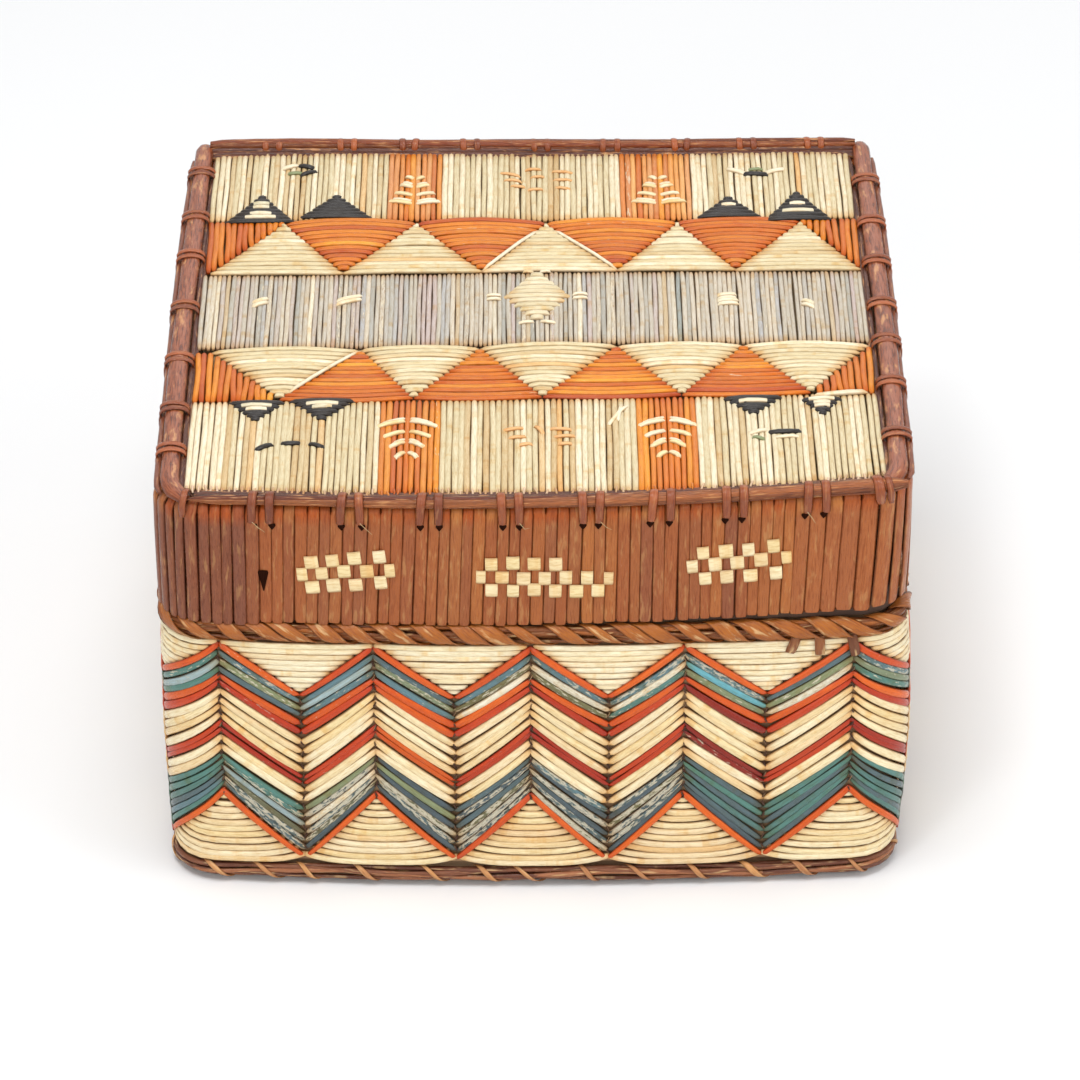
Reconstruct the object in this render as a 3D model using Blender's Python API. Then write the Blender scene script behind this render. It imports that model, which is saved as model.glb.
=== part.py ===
# Quilled bark box with a lift-off lid. The body is a bark band worked all round with dyed quills laid in
# chevrons, the lid has a quilled top and a band of upright splints, and laced rods finish the three rims.
# Everything that goes round the box is an offset of one outline, the outer face of the body's bark wall.
import bisect
import math

import bmesh
import bpy
from mathutils import Vector

MM = 0.001

# Outline of the body's bark wall, seen from above
BODY_WIDTH = 169.0 * MM
BODY_DEPTH = 160.4 * MM
CORNER_RADIUS = 9 * MM
FRONT_BOW = 3.4 * MM
SIDE_BOW = 0.8 * MM
MOST_SAG = 0.25 * MM

# Clearances between pieces that touch, and round the neck that the lid slides over
TOUCH = 0.3 * MM
LID_SLIDE = 0.6 * MM
NECK_TOP_ROOM = 2.3 * MM

# Bark sheets
BASE_THICKNESS = 1.8 * MM
LINING_THICKNESS = 0.8 * MM
BODY_WALL_THICKNESS = 1.5 * MM
BODY_WALL_HEIGHT = 62.7 * MM
NECK_THICKNESS = 1.4 * MM
LID_WALL_THICKNESS = 1.4 * MM
LID_WALL_HEIGHT = 27.7 * MM
LID_BOARD_THICKNESS = 1.5 * MM

# Rods at the rims, as half sizes across and up, and the root strand laced round them
ROD_SIDES = 5
BASE_ROD_ACROSS = 1.3 * MM
BASE_ROD_UP = 2.0 * MM
BASE_ROD_OFFSET = 0.6 * MM
BODY_ROD_ACROSS = 1.3 * MM
BODY_ROD_UP = 1.5 * MM
LID_END_ROD_ACROSS = 1.6 * MM
LID_END_ROD_OFFSET = 0.3 * MM
LID_SIDE_ROD_ACROSS = 2.3 * MM
LID_SIDE_ROD_OFFSET = -1.3 * MM
LID_ROD_UP = 1.65 * MM
ROD_JOINT_GAP = 0.6 * MM
STRAND_THICKNESS = 0.5 * MM
STRAND_WIDTH = 2.2 * MM
STRAND_SLACK = 0.35 * MM
BASE_WRAP_PITCH = 14.2 * MM
BODY_WRAP_PITCH = 11.8 * MM
LASHINGS_PER_SIDE = 8
LASHING_SPACING = 4.1 * MM

# Quillwork on the body: half columns go round it, and each quill slopes from a peak to a valley
HALF_COLUMNS = 36
FACE_HALF_COLUMNS = 8
FACE_HALF_COLUMN = 17.85 * MM
QUILL_THICKNESS = 1.9 * MM
QUILL_GROOVE = 0.6 * MM
BAND_GAP = 0.5 * MM
UPPER_STRIP = 0.7 * MM
LOWER_STRIP = 0.8 * MM
LOWER_POINT_HEIGHT = 18.9 * MM
LOWER_POINT_QUILLS = 10
UPPER_POINT_QUILLS = 8
# Each chevron band from the bottom up: its name, its colour, how many quills, and one quill's height
CHEVRON_BANDS = (
    ("lower_orange_edge", "orange", 1, 1.5 * MM),
    ("lower_blue_chevron", "slate", 6, 2.35 * MM),
    ("lower_cream_chevron", "cream", 2, 2.6 * MM),
    ("red_chevron", "red", 2, 1.6 * MM),
    ("cream_chevron", "cream", 4, 2.7 * MM),
    ("orange_chevron", "orange", 2, 2.7 * MM),
    ("upper_blue_chevron", "teal", 3, 2.0 * MM),
    ("upper_orange_edge", "orange", 1, 1.4 * MM),
)

# Upright splints round the lid
SPLINTS = 240
SPLINT_THICKNESS = 1.6 * MM
SPLINT_RIB = 0.35 * MM
SHOULDER_DROP = 2.0 * MM
SHOULDER_WIDTH = 1.0 * MM

# Quillwork on the lid's top, in five rows from the rear edge to the front edge
FIELD_THICKNESS = 3.0 * MM
ZIGZAG_STRIP = 0.7 * MM
FIELD_RIB = 0.5 * MM
PANEL_QUILL = 1.42 * MM
BLUE_QUILL = 1.12 * MM
ZIGZAG_QUILL = 2.0 * MM
FIELD_SIDE_MARGIN = 0.9 * MM
REAR_PANEL_DEPTH = 33.2 * MM
REAR_ZIGZAG_DEPTH = 24.8 * MM
BLUE_BAND_DEPTH = 33.5 * MM
FRONT_ZIGZAG_DEPTH = 23.4 * MM
REAR_PANEL_EDGES = (-35.6 * MM, -22.2 * MM, 21.7 * MM, 39.2 * MM)
FRONT_PANEL_EDGES = (-35.0 * MM, -21.2 * MM, 23.6 * MM, 37.3 * MM)
ZIGZAG_POINTS = 5
PANEL_NAMES = ("cream_left", "orange_left", "cream_middle", "orange_right", "cream_right")

COLOURS = {
    "bark": ((0.40, 0.24, 0.13), 0.75),
    "lining": ((0.55, 0.36, 0.20), 0.70),
    "splint": ((0.30, 0.11, 0.045), 0.50),
    "lid_rod": ((0.21, 0.055, 0.022), 0.35),
    "body_rod": ((0.38, 0.16, 0.05), 0.45),
    "base_rod": ((0.16, 0.06, 0.028), 0.45),
    "lashing": ((0.17, 0.04, 0.018), 0.30),
    "root": ((0.42, 0.19, 0.07), 0.40),
    "cream": ((0.87, 0.74, 0.41), 0.40),
    "lid_cream": ((0.80, 0.70, 0.45), 0.40),
    "orange": ((0.78, 0.16, 0.025), 0.40),
    "lid_orange": ((0.68, 0.18, 0.03), 0.40),
    "red": ((0.58, 0.07, 0.02), 0.40),
    "teal": ((0.10, 0.22, 0.23), 0.45),
    "slate": ((0.06, 0.12, 0.13), 0.45),
    "pale_blue": ((0.45, 0.47, 0.48), 0.45),
}

# Offsets from the outline, outwards positive
QUILL_INNER = TOUCH
QUILL_OUTER = QUILL_INNER + QUILL_THICKNESS
STRAND_REACH = TOUCH / math.cos(math.pi / ROD_SIDES) + STRAND_THICKNESS
NECK_OUTER = -(BODY_ROD_ACROSS + STRAND_REACH + TOUCH)
NECK_INNER = NECK_OUTER - NECK_THICKNESS
LID_WALL_INNER = NECK_OUTER + LID_SLIDE
LID_WALL_OUTER = LID_WALL_INNER + LID_WALL_THICKNESS
SPLINT_INNER = LID_WALL_OUTER + TOUCH
SPLINT_OUTER = SPLINT_INNER + SPLINT_THICKNESS
BASE_PANEL_OFFSET = BASE_ROD_OFFSET - BASE_ROD_ACROSS - STRAND_REACH - TOUCH
FIELD_END_INSET = LID_END_ROD_ACROSS - LID_END_ROD_OFFSET + STRAND_REACH + TOUCH
FIELD_SIDE_INSET = LID_SIDE_ROD_ACROSS - LID_SIDE_ROD_OFFSET + STRAND_REACH + FIELD_SIDE_MARGIN

# Levels, from the flat underside up
BASE_ROD_LEVEL = TOUCH + STRAND_REACH + BASE_ROD_UP
BODY_BOTTOM = BASE_ROD_LEVEL + BASE_ROD_UP + STRAND_REACH + TOUCH
BODY_TOP = BODY_BOTTOM + BODY_WALL_HEIGHT
BODY_ROD_LEVEL = BODY_TOP + TOUCH + STRAND_REACH + BODY_ROD_UP
LID_BOTTOM = BODY_ROD_LEVEL + BODY_ROD_UP + STRAND_REACH + TOUCH
LID_WALL_TOP = LID_BOTTOM + LID_WALL_HEIGHT
LID_BOARD_BOTTOM = LID_WALL_TOP + TOUCH
LID_BOARD_TOP = LID_BOARD_BOTTOM + LID_BOARD_THICKNESS
LID_ROD_LEVEL = LID_BOARD_TOP + TOUCH + STRAND_SLACK + STRAND_REACH + LID_ROD_UP
FIELD_BOTTOM = LID_BOARD_TOP + TOUCH
LID_LINING_BOTTOM = LID_WALL_TOP - LINING_THICKNESS
NECK_BOTTOM = BASE_THICKNESS + TOUCH
NECK_TOP = LID_LINING_BOTTOM - NECK_TOP_ROOM


def rounded_rectangle(side_steps=400, corner_steps=200):
    """Points of the plain outline, anticlockwise from the middle of the front."""
    half = Vector((BODY_WIDTH / 2, BODY_DEPTH / 2))
    straight = half - Vector((CORNER_RADIUS, CORNER_RADIUS))
    points = []
    for corner, (x_sign, y_sign) in enumerate(((1, -1), (1, 1), (-1, 1), (-1, -1))):
        centre = Vector((x_sign * straight.x, y_sign * straight.y))
        for step in range(corner_steps + 1):
            turn = math.pi / 2 * (corner - 1 + step / corner_steps)
            points.append(centre + CORNER_RADIUS * Vector((math.cos(turn), math.sin(turn))))
    dense = []
    for point, following in zip(points, points[1:] + points[:1]):
        steps = side_steps if (following - point).length > CORNER_RADIUS / 4 else 1
        dense += [point.lerp(following, step / steps) for step in range(steps)]
    middle = min(range(len(dense)), key=lambda i: abs(dense[i].x) - BODY_DEPTH * (dense[i].y < 0))
    return dense[middle:] + dense[:middle]


def bowed(point):
    """The outline's point once the front swells and the sides bulge a little, as bent bark does."""
    across = point.x / (BODY_WIDTH / 2)
    along = point.y / (BODY_DEPTH / 2)
    x = point.x - math.copysign(SIDE_BOW, across) * abs(across) * along**2
    y = point.y + FRONT_BOW * across**2 * max(0.0, -along)
    return Vector((x, y, 0))


class Outline:
    """The body's outline, read by the distance along it from the middle of the front."""

    def __init__(self):
        points = [bowed(point) for point in rounded_rectangle()]
        self.points = points + [points[0].copy()]
        self.along = [0.0]
        for a, b in zip(self.points, self.points[1:]):
            self.along.append(self.along[-1] + (b - a).length)
        self.length = self.along[-1]
        self.corners = self.corner_distances()

    def corner_distances(self):
        """How far along the middle of each corner lies, where the outline runs at half a right angle."""
        found = []
        for x_sign, y_sign in ((1, -1), (1, 1), (-1, 1), (-1, -1)):
            diagonal = Vector((x_sign, y_sign, 0))
            furthest = max(range(len(self.points) - 1), key=lambda i: self.points[i].dot(diagonal))
            found.append(self.along[furthest])
        return found

    def at(self, distance):
        distance %= self.length
        i = max(1, bisect.bisect_left(self.along, distance))
        share = (distance - self.along[i - 1]) / (self.along[i] - self.along[i - 1])
        return self.points[i - 1].lerp(self.points[i], share)

    def outward(self, distance):
        reach = self.length / 1500
        tangent = (self.at(distance + reach) - self.at(distance - reach)).normalized()
        return Vector((tangent.y, -tangent.x, 0))

    def offset(self, distance, out, up=0.0):
        point = self.at(distance) + self.outward(distance) * out
        return Vector((point.x, point.y, up))


OUTLINE = Outline()


def column_edges():
    """Distances of the half columns' edges: even on the front and on the rear, and even down each side."""
    face = FACE_HALF_COLUMNS * FACE_HALF_COLUMN
    side = OUTLINE.length / 2 - face
    side_columns = HALF_COLUMNS // 2 - FACE_HALF_COLUMNS
    edges = []
    for column in range(HALF_COLUMNS):
        half_turn, place = divmod(column + FACE_HALF_COLUMNS // 2, HALF_COLUMNS // 2)
        run = min(place, FACE_HALF_COLUMNS) * FACE_HALF_COLUMN
        run += max(0, place - FACE_HALF_COLUMNS) * side / side_columns
        edges.append(half_turn * OUTLINE.length / 2 + run - face / 2)
    return edges


def make_stations():
    """(distance, column) of every ring's sections: at each half column's edge, and more where it bends."""
    stations = []
    edges = column_edges()
    for column, edge in enumerate(edges):
        following = edges[column + 1] if column + 1 < HALF_COLUMNS else OUTLINE.length
        width = following - edge
        sag = width * OUTLINE.outward(edge).angle(OUTLINE.outward(following)) / 8
        parts = math.ceil(math.sqrt(sag / MOST_SAG)) or 1
        stations += [(edge + width * part / parts, column + part / parts) for part in range(parts)]
    return stations


STATIONS = make_stations()


def make_materials():
    materials = {}
    for name, (colour, roughness) in COLOURS.items():
        material = bpy.data.materials.new(name)
        material.use_nodes = True
        shader = material.node_tree.nodes["Principled BSDF"]
        shader.inputs["Base Color"].default_value = (*colour, 1)
        shader.inputs["Roughness"].default_value = roughness
        shader.inputs["Metallic"].default_value = 0
        materials[name] = material
    return materials


def signed_volume(mesh_data):
    """Positive where the faces point outwards. It is summed in full precision, because a strand is thin."""
    total = 0.0
    for face in mesh_data.faces:
        corners = [tuple(vert.co) for vert in face.verts]
        ax, ay, az = corners[0]
        for (bx, by, bz), (cx, cy, cz) in zip(corners[1:], corners[2:]):
            total += ax * (by * cz - bz * cy) + ay * (bz * cx - bx * cz) + az * (bx * cy - by * cx)
    return total


def add_piece(name, mesh_data, colour, parent, level=0.0, smooth=False):
    """Makes an object of a finished bmesh, hung on its body's empty at its own level."""
    bmesh.ops.recalc_face_normals(mesh_data, faces=mesh_data.faces)
    if signed_volume(mesh_data) < 0:
        bmesh.ops.reverse_faces(mesh_data, faces=mesh_data.faces)
    mesh = bpy.data.meshes.new(name)
    mesh_data.to_mesh(mesh)
    mesh_data.free()
    if smooth:
        mesh.shade_smooth()
        mesh.set_sharp_from_angle(angle=math.radians(50))
    piece = bpy.data.objects.new(name, mesh)
    bpy.context.scene.collection.objects.link(piece)
    piece.location = Vector((0, 0, level)) - parent.location
    piece.parent = parent
    if colour:
        mesh.materials.append(MATERIALS[colour])
    return piece


def cut(piece, cutter, operation="DIFFERENCE"):
    cutter.hide_render = True
    cutter.display_type = "WIRE"
    modifier = piece.modifiers.new(cutter.name, "BOOLEAN")
    modifier.operation = operation
    modifier.solver = "EXACT"
    modifier.object = cutter


def bridge(data, first, second):
    """Quads between two closed loops of the same count."""
    count = len(first)
    for i in range(count):
        j = (i + 1) % count
        data.faces.new((first[i], first[j], second[j], second[i]))


def ring(name, colour, parent, section, level=0.0, smooth=False):
    """A closed ring round the box. section(column) lists its (offset, height) corners there."""
    data = bmesh.new()
    loops = []
    for distance, column in STATIONS:
        corners = [OUTLINE.offset(distance, out, up) for out, up in section(column)]
        loops.append([data.verts.new(corner) for corner in corners])
    for loop, following in zip(loops, loops[1:] + loops[:1]):
        bridge(data, loop, following)
    return add_piece(name, data, colour, parent, level, smooth)


def band(name, colour, parent, inner, outer, bottom, top):
    """A plain sheet of bark bent round the outline."""
    height = top - bottom
    corners = [(inner, 0), (outer, 0), (outer, height), (inner, height)]
    return ring(name, colour, parent, lambda column: corners, bottom)


def panel(name, colour, parent, offset, bottom, thickness):
    """A flat sheet cut to the outline."""
    data = bmesh.new()
    lower = [data.verts.new(OUTLINE.offset(distance, offset)) for distance, column in STATIONS]
    face = data.faces.new(lower)
    made = bmesh.ops.extrude_face_region(data, geom=[face])
    raised = [item for item in made["geom"] if isinstance(item, bmesh.types.BMVert)]
    bmesh.ops.translate(data, verts=raised, vec=(0, 0, thickness))
    return add_piece(name, data, colour, parent, bottom)


def rod_corners(offset, across, up):
    """The faceted oval section of a rod, as (offset, height)."""
    turns = [2 * math.pi * i / ROD_SIDES - math.pi / 2 for i in range(ROD_SIDES)]
    return [(offset + across * math.cos(turn), up * math.sin(turn)) for turn in turns]


def round_rod(name, colour, parent, offset, level, across, up):
    """A rod bent all the way round the rim."""
    corners = rod_corners(offset, across, up)
    return ring(name, colour, parent, lambda column: corners, level, smooth=True)


def side_rod(name, colour, parent, start, end, offset, level, across, up):
    """A rod that lies along one side only, from start to end along the outline, with square ends."""
    length = OUTLINE.length
    inside = [distance % length for distance, column in STATIONS]
    inside = sorted((distance - start) % length for distance in inside)
    runs = [0.0] + [run for run in inside if 0 < run < end - start] + [end - start]
    data = bmesh.new()
    loops = []
    for run in runs:
        corners = [OUTLINE.offset(start + run, out, high) for out, high in rod_corners(offset, across, up)]
        loops.append([data.verts.new(corner) for corner in corners])
    for loop, following in zip(loops, loops[1:]):
        bridge(data, loop, following)
    data.faces.new(loops[0])
    data.faces.new(loops[-1])
    return add_piece(name, data, colour, parent, level, smooth=True)


def even_wraps(pitch):
    """A strand's path that winds evenly round a rod: (distance, side of the rod, how far it runs along)."""
    steps = round(OUTLINE.length / pitch) * ROD_SIDES
    return [(OUTLINE.length * i / steps, i % ROD_SIDES, 0) for i in range(steps)]


def paired_wraps(start, end, lashings):
    """A strand's path along one side: it winds twice at each lashing and runs on under the rod between."""
    path = []
    spacing = (end - start) / lashings
    steps = 2 * ROD_SIDES
    for lashing in range(lashings):
        first = start + (lashing + 0.5) * spacing - LASHING_SPACING
        for step in range(steps + 1):
            turning = 0.5 if step in (0, steps) else 0
            path.append((first + LASHING_SPACING * step / ROD_SIDES, step % ROD_SIDES, turning))
        if lashing + 1 < lashings:
            path.append((first + LASHING_SPACING + spacing / 2, 0, 1))
    return path


def least_gap(sections, closed):
    """The least distance between parts of a strand that aren't neighbours along it."""
    least = math.inf
    for i, section in enumerate(sections):
        for j, other in enumerate(sections[:i]):
            apart = min(i - j, len(sections) - i + j) if closed else i - j
            if apart > 1:
                least = min(least, min((a - b).length for a in section for b in other))
    return least


def strand(name, colour, parent, path, offset, level, across, up, closed=True):
    """One root strand round a rod, with a ridge along its middle. A closed one joins its own start."""
    data = bmesh.new()
    loops = []
    for distance, side, running in path:
        turn = 2 * math.pi * side / ROD_SIDES - math.pi / 2
        clear = TOUCH / math.cos(math.pi / ROD_SIDES) + (STRAND_SLACK if running else 0)
        outward = OUTLINE.outward(distance)
        normal = outward * math.cos(turn) + Vector((0, 0, math.sin(turn)))
        out = offset + (across + clear) * math.cos(turn)
        centre = OUTLINE.offset(distance, out, (up + clear) * math.sin(turn))
        along = Vector((-outward.y, outward.x, 0))
        width = (along * (1 - running) - outward * running).normalized() * STRAND_WIDTH / 2
        ridge = centre + normal * STRAND_THICKNESS
        loops.append([data.verts.new(corner) for corner in (centre - width, centre + width, ridge)])
    for loop, following in zip(loops, loops[1:] + loops[: 1 if closed else 0]):
        bridge(data, loop, following)
    if not closed:
        data.faces.new(loops[0])
        data.faces.new(loops[-1])
    # Flat triangles, chosen so that the twisted faces of a thin strand don't pass through each other
    bmesh.ops.triangulate(data, faces=data.faces)
    gap = least_gap([[vert.co for vert in loop] for loop in loops], closed)
    print(f"{name}: least gap to itself {gap / MM:.2f} mm")
    return add_piece(name, data, colour, parent, level)


def zigzag_share(column):
    """1 at a chevron's peak, 0 at its valley. The first peak is at the middle of the front."""
    return abs(column % 2 - 1)


def quill_profile(quills, bottom, top):
    """(offset, height) round a band of quills: flat behind, one ridge for each quill in front."""
    step = (top - bottom) / quills
    corners = [(QUILL_INNER, top), (QUILL_INNER, bottom)]
    for quill in range(quills):
        if quill:
            corners.append((QUILL_OUTER - QUILL_GROOVE, bottom + quill * step))
        corners.append((QUILL_OUTER, bottom + (quill + 0.5) * step))
    return corners


def level_profile(quills, bottom, top):
    """(offset, height) round a band of level quills: flat behind, one face for each quill in front."""
    corners = [(QUILL_INNER, top), (QUILL_INNER, bottom)]
    for edge in range(quills + 1):
        out = QUILL_OUTER - QUILL_GROOVE * (edge % 2)
        corners.append((out, bottom + (top - bottom) * edge / quills))
    return corners


# Shares of the way up the chevrons, at their lower and upper edges
CHEVRONS_FOOT = 0.0
CHEVRONS_HEAD = 1.0
CHEVRON_HEIGHT = sum(quills * height for name, colour, quills, height in CHEVRON_BANDS)
VALLEY_START = LOWER_STRIP + BAND_GAP
PEAK_START = LOWER_POINT_HEIGHT + BAND_GAP
PEAK_END = BODY_WALL_HEIGHT - UPPER_STRIP - BAND_GAP
VALLEY_END = VALLEY_START + CHEVRON_HEIGHT


def chevron_level(column, share):
    """Height above the body's lower edge of the line that is this share of the way up the chevrons."""
    valley = VALLEY_START + (VALLEY_END - VALLEY_START) * share
    peak = PEAK_START + (PEAK_END - PEAK_START) * share
    return valley + (peak - valley) * zigzag_share(column)


def make_chevrons(parent):
    done = 0.0
    for name, colour, quills, height in CHEVRON_BANDS:
        first = done / CHEVRON_HEIGHT
        done += quills * height
        last = done / CHEVRON_HEIGHT

        def section(column, quills=quills, first=first, last=last):
            bottom = chevron_level(column, first) + BAND_GAP / 2
            top = chevron_level(column, last) - BAND_GAP / 2
            return quill_profile(quills, bottom, top)

        ring(name, colour, parent, section, BODY_BOTTOM)


def make_points(parent):
    """Rows of cream points: a ring of level quills, with the chevrons' zigzag cut out of it."""
    deep = QUILL_INNER - QUILL_THICKNESS
    proud = QUILL_OUTER + QUILL_THICKNESS
    margin = BODY_WALL_HEIGHT

    def lower_cutter(column):
        edge = chevron_level(column, CHEVRONS_FOOT) - BAND_GAP / 2
        return [(deep, edge), (proud, edge), (proud, edge + margin), (deep, edge + margin)]

    def upper_cutter(column):
        edge = chevron_level(column, CHEVRONS_HEAD) + BAND_GAP / 2
        return [(deep, edge - margin), (proud, edge - margin), (proud, edge), (deep, edge)]

    lower = level_profile(LOWER_POINT_QUILLS, 0, LOWER_POINT_HEIGHT)
    upper = level_profile(UPPER_POINT_QUILLS, VALLEY_END + BAND_GAP, BODY_WALL_HEIGHT)
    for name, profile, cutter in (
        ("lower_cream_points", lower, lower_cutter),
        ("upper_cream_points", upper, upper_cutter),
    ):
        points = ring(name, "cream", parent, lambda column, corners=profile: corners, BODY_BOTTOM)
        cut(points, ring(name + "_zigzag_cutter", None, parent, cutter, BODY_BOTTOM))


def make_splints(parent):
    """One band of upright splints: each is a face of the outer wall, and all bend in at the lid's edge."""
    data = bmesh.new()
    top = LID_BOARD_TOP - LID_BOTTOM
    spacing = OUTLINE.length / SPLINTS
    fine = [i * spacing for i in range(SPLINTS)]
    picks = sorted({round(distance / spacing) % SPLINTS for distance, column in STATIONS})

    def fine_loop(height):
        loop = []
        for i, distance in enumerate(fine):
            out = SPLINT_OUTER - SPLINT_RIB * (i % 2)
            loop.append(data.verts.new(OUTLINE.offset(distance, out, height)))
        return loop

    def coarse_loop(out, height):
        return [data.verts.new(OUTLINE.offset(fine[pick], out, height)) for pick in picks]

    def fan(fine_verts, coarse_verts):
        for i, pick in enumerate(picks):
            following = picks[(i + 1) % len(picks)]
            count = (following - pick) % SPLINTS
            edge = [fine_verts[(pick + k) % SPLINTS] for k in range(count + 1)]
            other = coarse_verts[(i + 1) % len(picks)]
            middle = edge[count // 2]
            data.faces.new((coarse_verts[i], other, middle))
            for k in range(count):
                corner = coarse_verts[i] if k < count // 2 else other
                data.faces.new((corner, edge[k + 1], edge[k]))

    foot = fine_loop(0)
    shoulder = fine_loop(top - SHOULDER_DROP)
    bend = coarse_loop(SPLINT_OUTER - SHOULDER_WIDTH, top)
    inner_top = coarse_loop(SPLINT_INNER, top)
    inner_foot = coarse_loop(SPLINT_INNER, 0)
    bridge(data, foot, shoulder)
    fan(shoulder, bend)
    bridge(data, bend, inner_top)
    bridge(data, inner_top, inner_foot)
    fan(foot, inner_foot)
    add_piece("lid_splints", data, "splint", parent, LID_BOTTOM)


def ridged_profile(start, end, quill):
    """(distance across, height) over a row of quills lying side by side, one face for each."""
    quills = max(2, round((end - start) / quill))
    low = FIELD_THICKNESS - FIELD_RIB
    across = (end - start) / quills
    return [(start + across * i, FIELD_THICKNESS if i % 2 else low) for i in range(quills + 1)]


def make_field_shape(parent):
    """The space inside the rim that all of the lid's quills are trimmed to."""
    data = bmesh.new()
    lower = []
    for distance, column in STATIONS:
        outward = OUTLINE.outward(distance)
        inset = Vector((outward.x * FIELD_SIDE_INSET, outward.y * FIELD_END_INSET, TOUCH))
        lower.append(OUTLINE.at(distance) - inset)
    face = data.faces.new([data.verts.new(corner) for corner in lower])
    made = bmesh.ops.extrude_face_region(data, geom=[face])
    raised = [item for item in made["geom"] if isinstance(item, bmesh.types.BMVert)]
    bmesh.ops.translate(data, verts=raised, vec=(0, 0, 2 * FIELD_THICKNESS))
    return add_piece("field_shape", data, None, parent, FIELD_BOTTOM)


def slab(name, colour, parent, profile, start, end, along_x=False):
    """Quills side by side on the lid's board: the profile goes across them, and they run start to end."""
    data = bmesh.new()
    outline = [(profile[0][0], 0)] + profile + [(profile[-1][0], 0)]
    loops = []
    for run in (start, end):
        if along_x:
            corners = [(run, across, up) for across, up in outline]
        else:
            corners = [(across, run, up) for across, up in outline]
        loops.append([data.verts.new(corner) for corner in corners])
    bridge(data, loops[0], loops[1])
    data.faces.new(loops[0])
    data.faces.new(loops[1])
    return add_piece(name, data, colour, parent, FIELD_BOTTOM)


def field_half_sizes():
    return BODY_WIDTH / 2 - FIELD_SIDE_INSET, BODY_DEPTH / 2 - FIELD_END_INSET


def make_panels(parent, field_shape, row, front, rear, edges):
    """One row of five panels whose quills run from front to back, cream and orange in turn."""
    half, depth = field_half_sizes()
    sides = (-half, *edges, half)
    for name, left, right in zip(PANEL_NAMES, sides, sides[1:]):
        colour = "lid_orange" if "orange" in name else "lid_cream"
        start = left + (TOUCH / 2 if left > -half else 0)
        end = right - (TOUCH / 2 if right < half else 0)
        profile = ridged_profile(start, end, PANEL_QUILL)
        piece = slab(row + "_" + name, colour, parent, profile, front, rear)
        cut(piece, field_shape, "INTERSECT")


def sawtooth(name, parent, base, tip):
    """The zigzag region from its straight base to its tips, as a solid that the ridged slab is cut to."""
    half, depth = field_half_sizes()
    half_point = half / ZIGZAG_POINTS
    foot = base + math.copysign(ZIGZAG_STRIP, tip - base)
    outline = [(-half, base), (half, base)]
    for step in reversed(range(2 * ZIGZAG_POINTS + 1)):
        outline.append((-half + step * half_point, tip if step % 2 else foot))
    data = bmesh.new()
    face = data.faces.new([data.verts.new((x, y, -FIELD_THICKNESS)) for x, y in outline])
    made = bmesh.ops.extrude_face_region(data, geom=[face])
    raised = [item for item in made["geom"] if isinstance(item, bmesh.types.BMVert)]
    bmesh.ops.translate(data, verts=raised, vec=(0, 0, 3 * FIELD_THICKNESS))
    return add_piece(name, data, None, parent, FIELD_BOTTOM)


def make_zigzag(parent, row, front, rear, cream_base, cream_tip):
    """Cream points and the orange ground between them, both of quills that run from side to side."""
    half, depth = field_half_sizes()
    profile = ridged_profile(front, rear, ZIGZAG_QUILL)
    way = math.copysign(1, cream_tip - cream_base)
    tip = cream_tip - way * (ZIGZAG_STRIP + BAND_GAP)
    cream = slab(row + "_cream_points", "lid_cream", parent, profile, -half, half, along_x=True)
    cut(cream, sawtooth(row + "_point_shape", parent, cream_base, tip), "INTERSECT")
    orange = slab(row + "_orange_ground", "lid_orange", parent, profile, -half, half, along_x=True)
    shift = way * BAND_GAP * 1.5
    cut(orange, sawtooth(row + "_ground_cutter", parent, cream_base, tip + shift))


def make_field(parent):
    half, depth = field_half_sizes()
    rear_zigzag = depth - REAR_PANEL_DEPTH
    blue_rear = rear_zigzag - REAR_ZIGZAG_DEPTH
    front_zigzag = blue_rear - BLUE_BAND_DEPTH
    front_panels = front_zigzag - FRONT_ZIGZAG_DEPTH
    shape = make_field_shape(parent)
    margin = FIELD_THICKNESS
    make_panels(parent, shape, "rear", rear_zigzag + TOUCH, depth + margin, REAR_PANEL_EDGES)
    make_zigzag(parent, "rear", blue_rear + TOUCH, rear_zigzag, blue_rear + TOUCH, rear_zigzag)
    blue = ridged_profile(-half, half, BLUE_QUILL)
    slab("blue_band", "pale_blue", parent, blue, front_zigzag + TOUCH, blue_rear)
    make_zigzag(parent, "front", front_panels + TOUCH, front_zigzag, front_zigzag, front_panels + TOUCH)
    make_panels(parent, shape, "front", -depth - margin, front_panels, FRONT_PANEL_EDGES)


def make_body(parent):
    panel("base_panel", "bark", parent, BASE_PANEL_OFFSET, 0, BASE_THICKNESS)
    panel("base_lining", "lining", parent, NECK_INNER - TOUCH, NECK_BOTTOM, LINING_THICKNESS)
    band("body_wall", "bark", parent, -BODY_WALL_THICKNESS, 0, BODY_BOTTOM, BODY_TOP)
    band("neck", "lining", parent, NECK_INNER, NECK_OUTER, NECK_BOTTOM, NECK_TOP)
    base_rod = (BASE_ROD_OFFSET, BASE_ROD_LEVEL, BASE_ROD_ACROSS, BASE_ROD_UP)
    round_rod("base_rod", "base_rod", parent, *base_rod)
    strand("base_lacing", "root", parent, even_wraps(BASE_WRAP_PITCH), *base_rod)
    rim_rod = (0, BODY_ROD_LEVEL, BODY_ROD_ACROSS, BODY_ROD_UP)
    round_rod("body_rim_rod", "body_rod", parent, *rim_rod)
    strand("body_rim_lacing", "root", parent, even_wraps(BODY_WRAP_PITCH), *rim_rod)
    make_chevrons(parent)
    make_points(parent)


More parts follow.
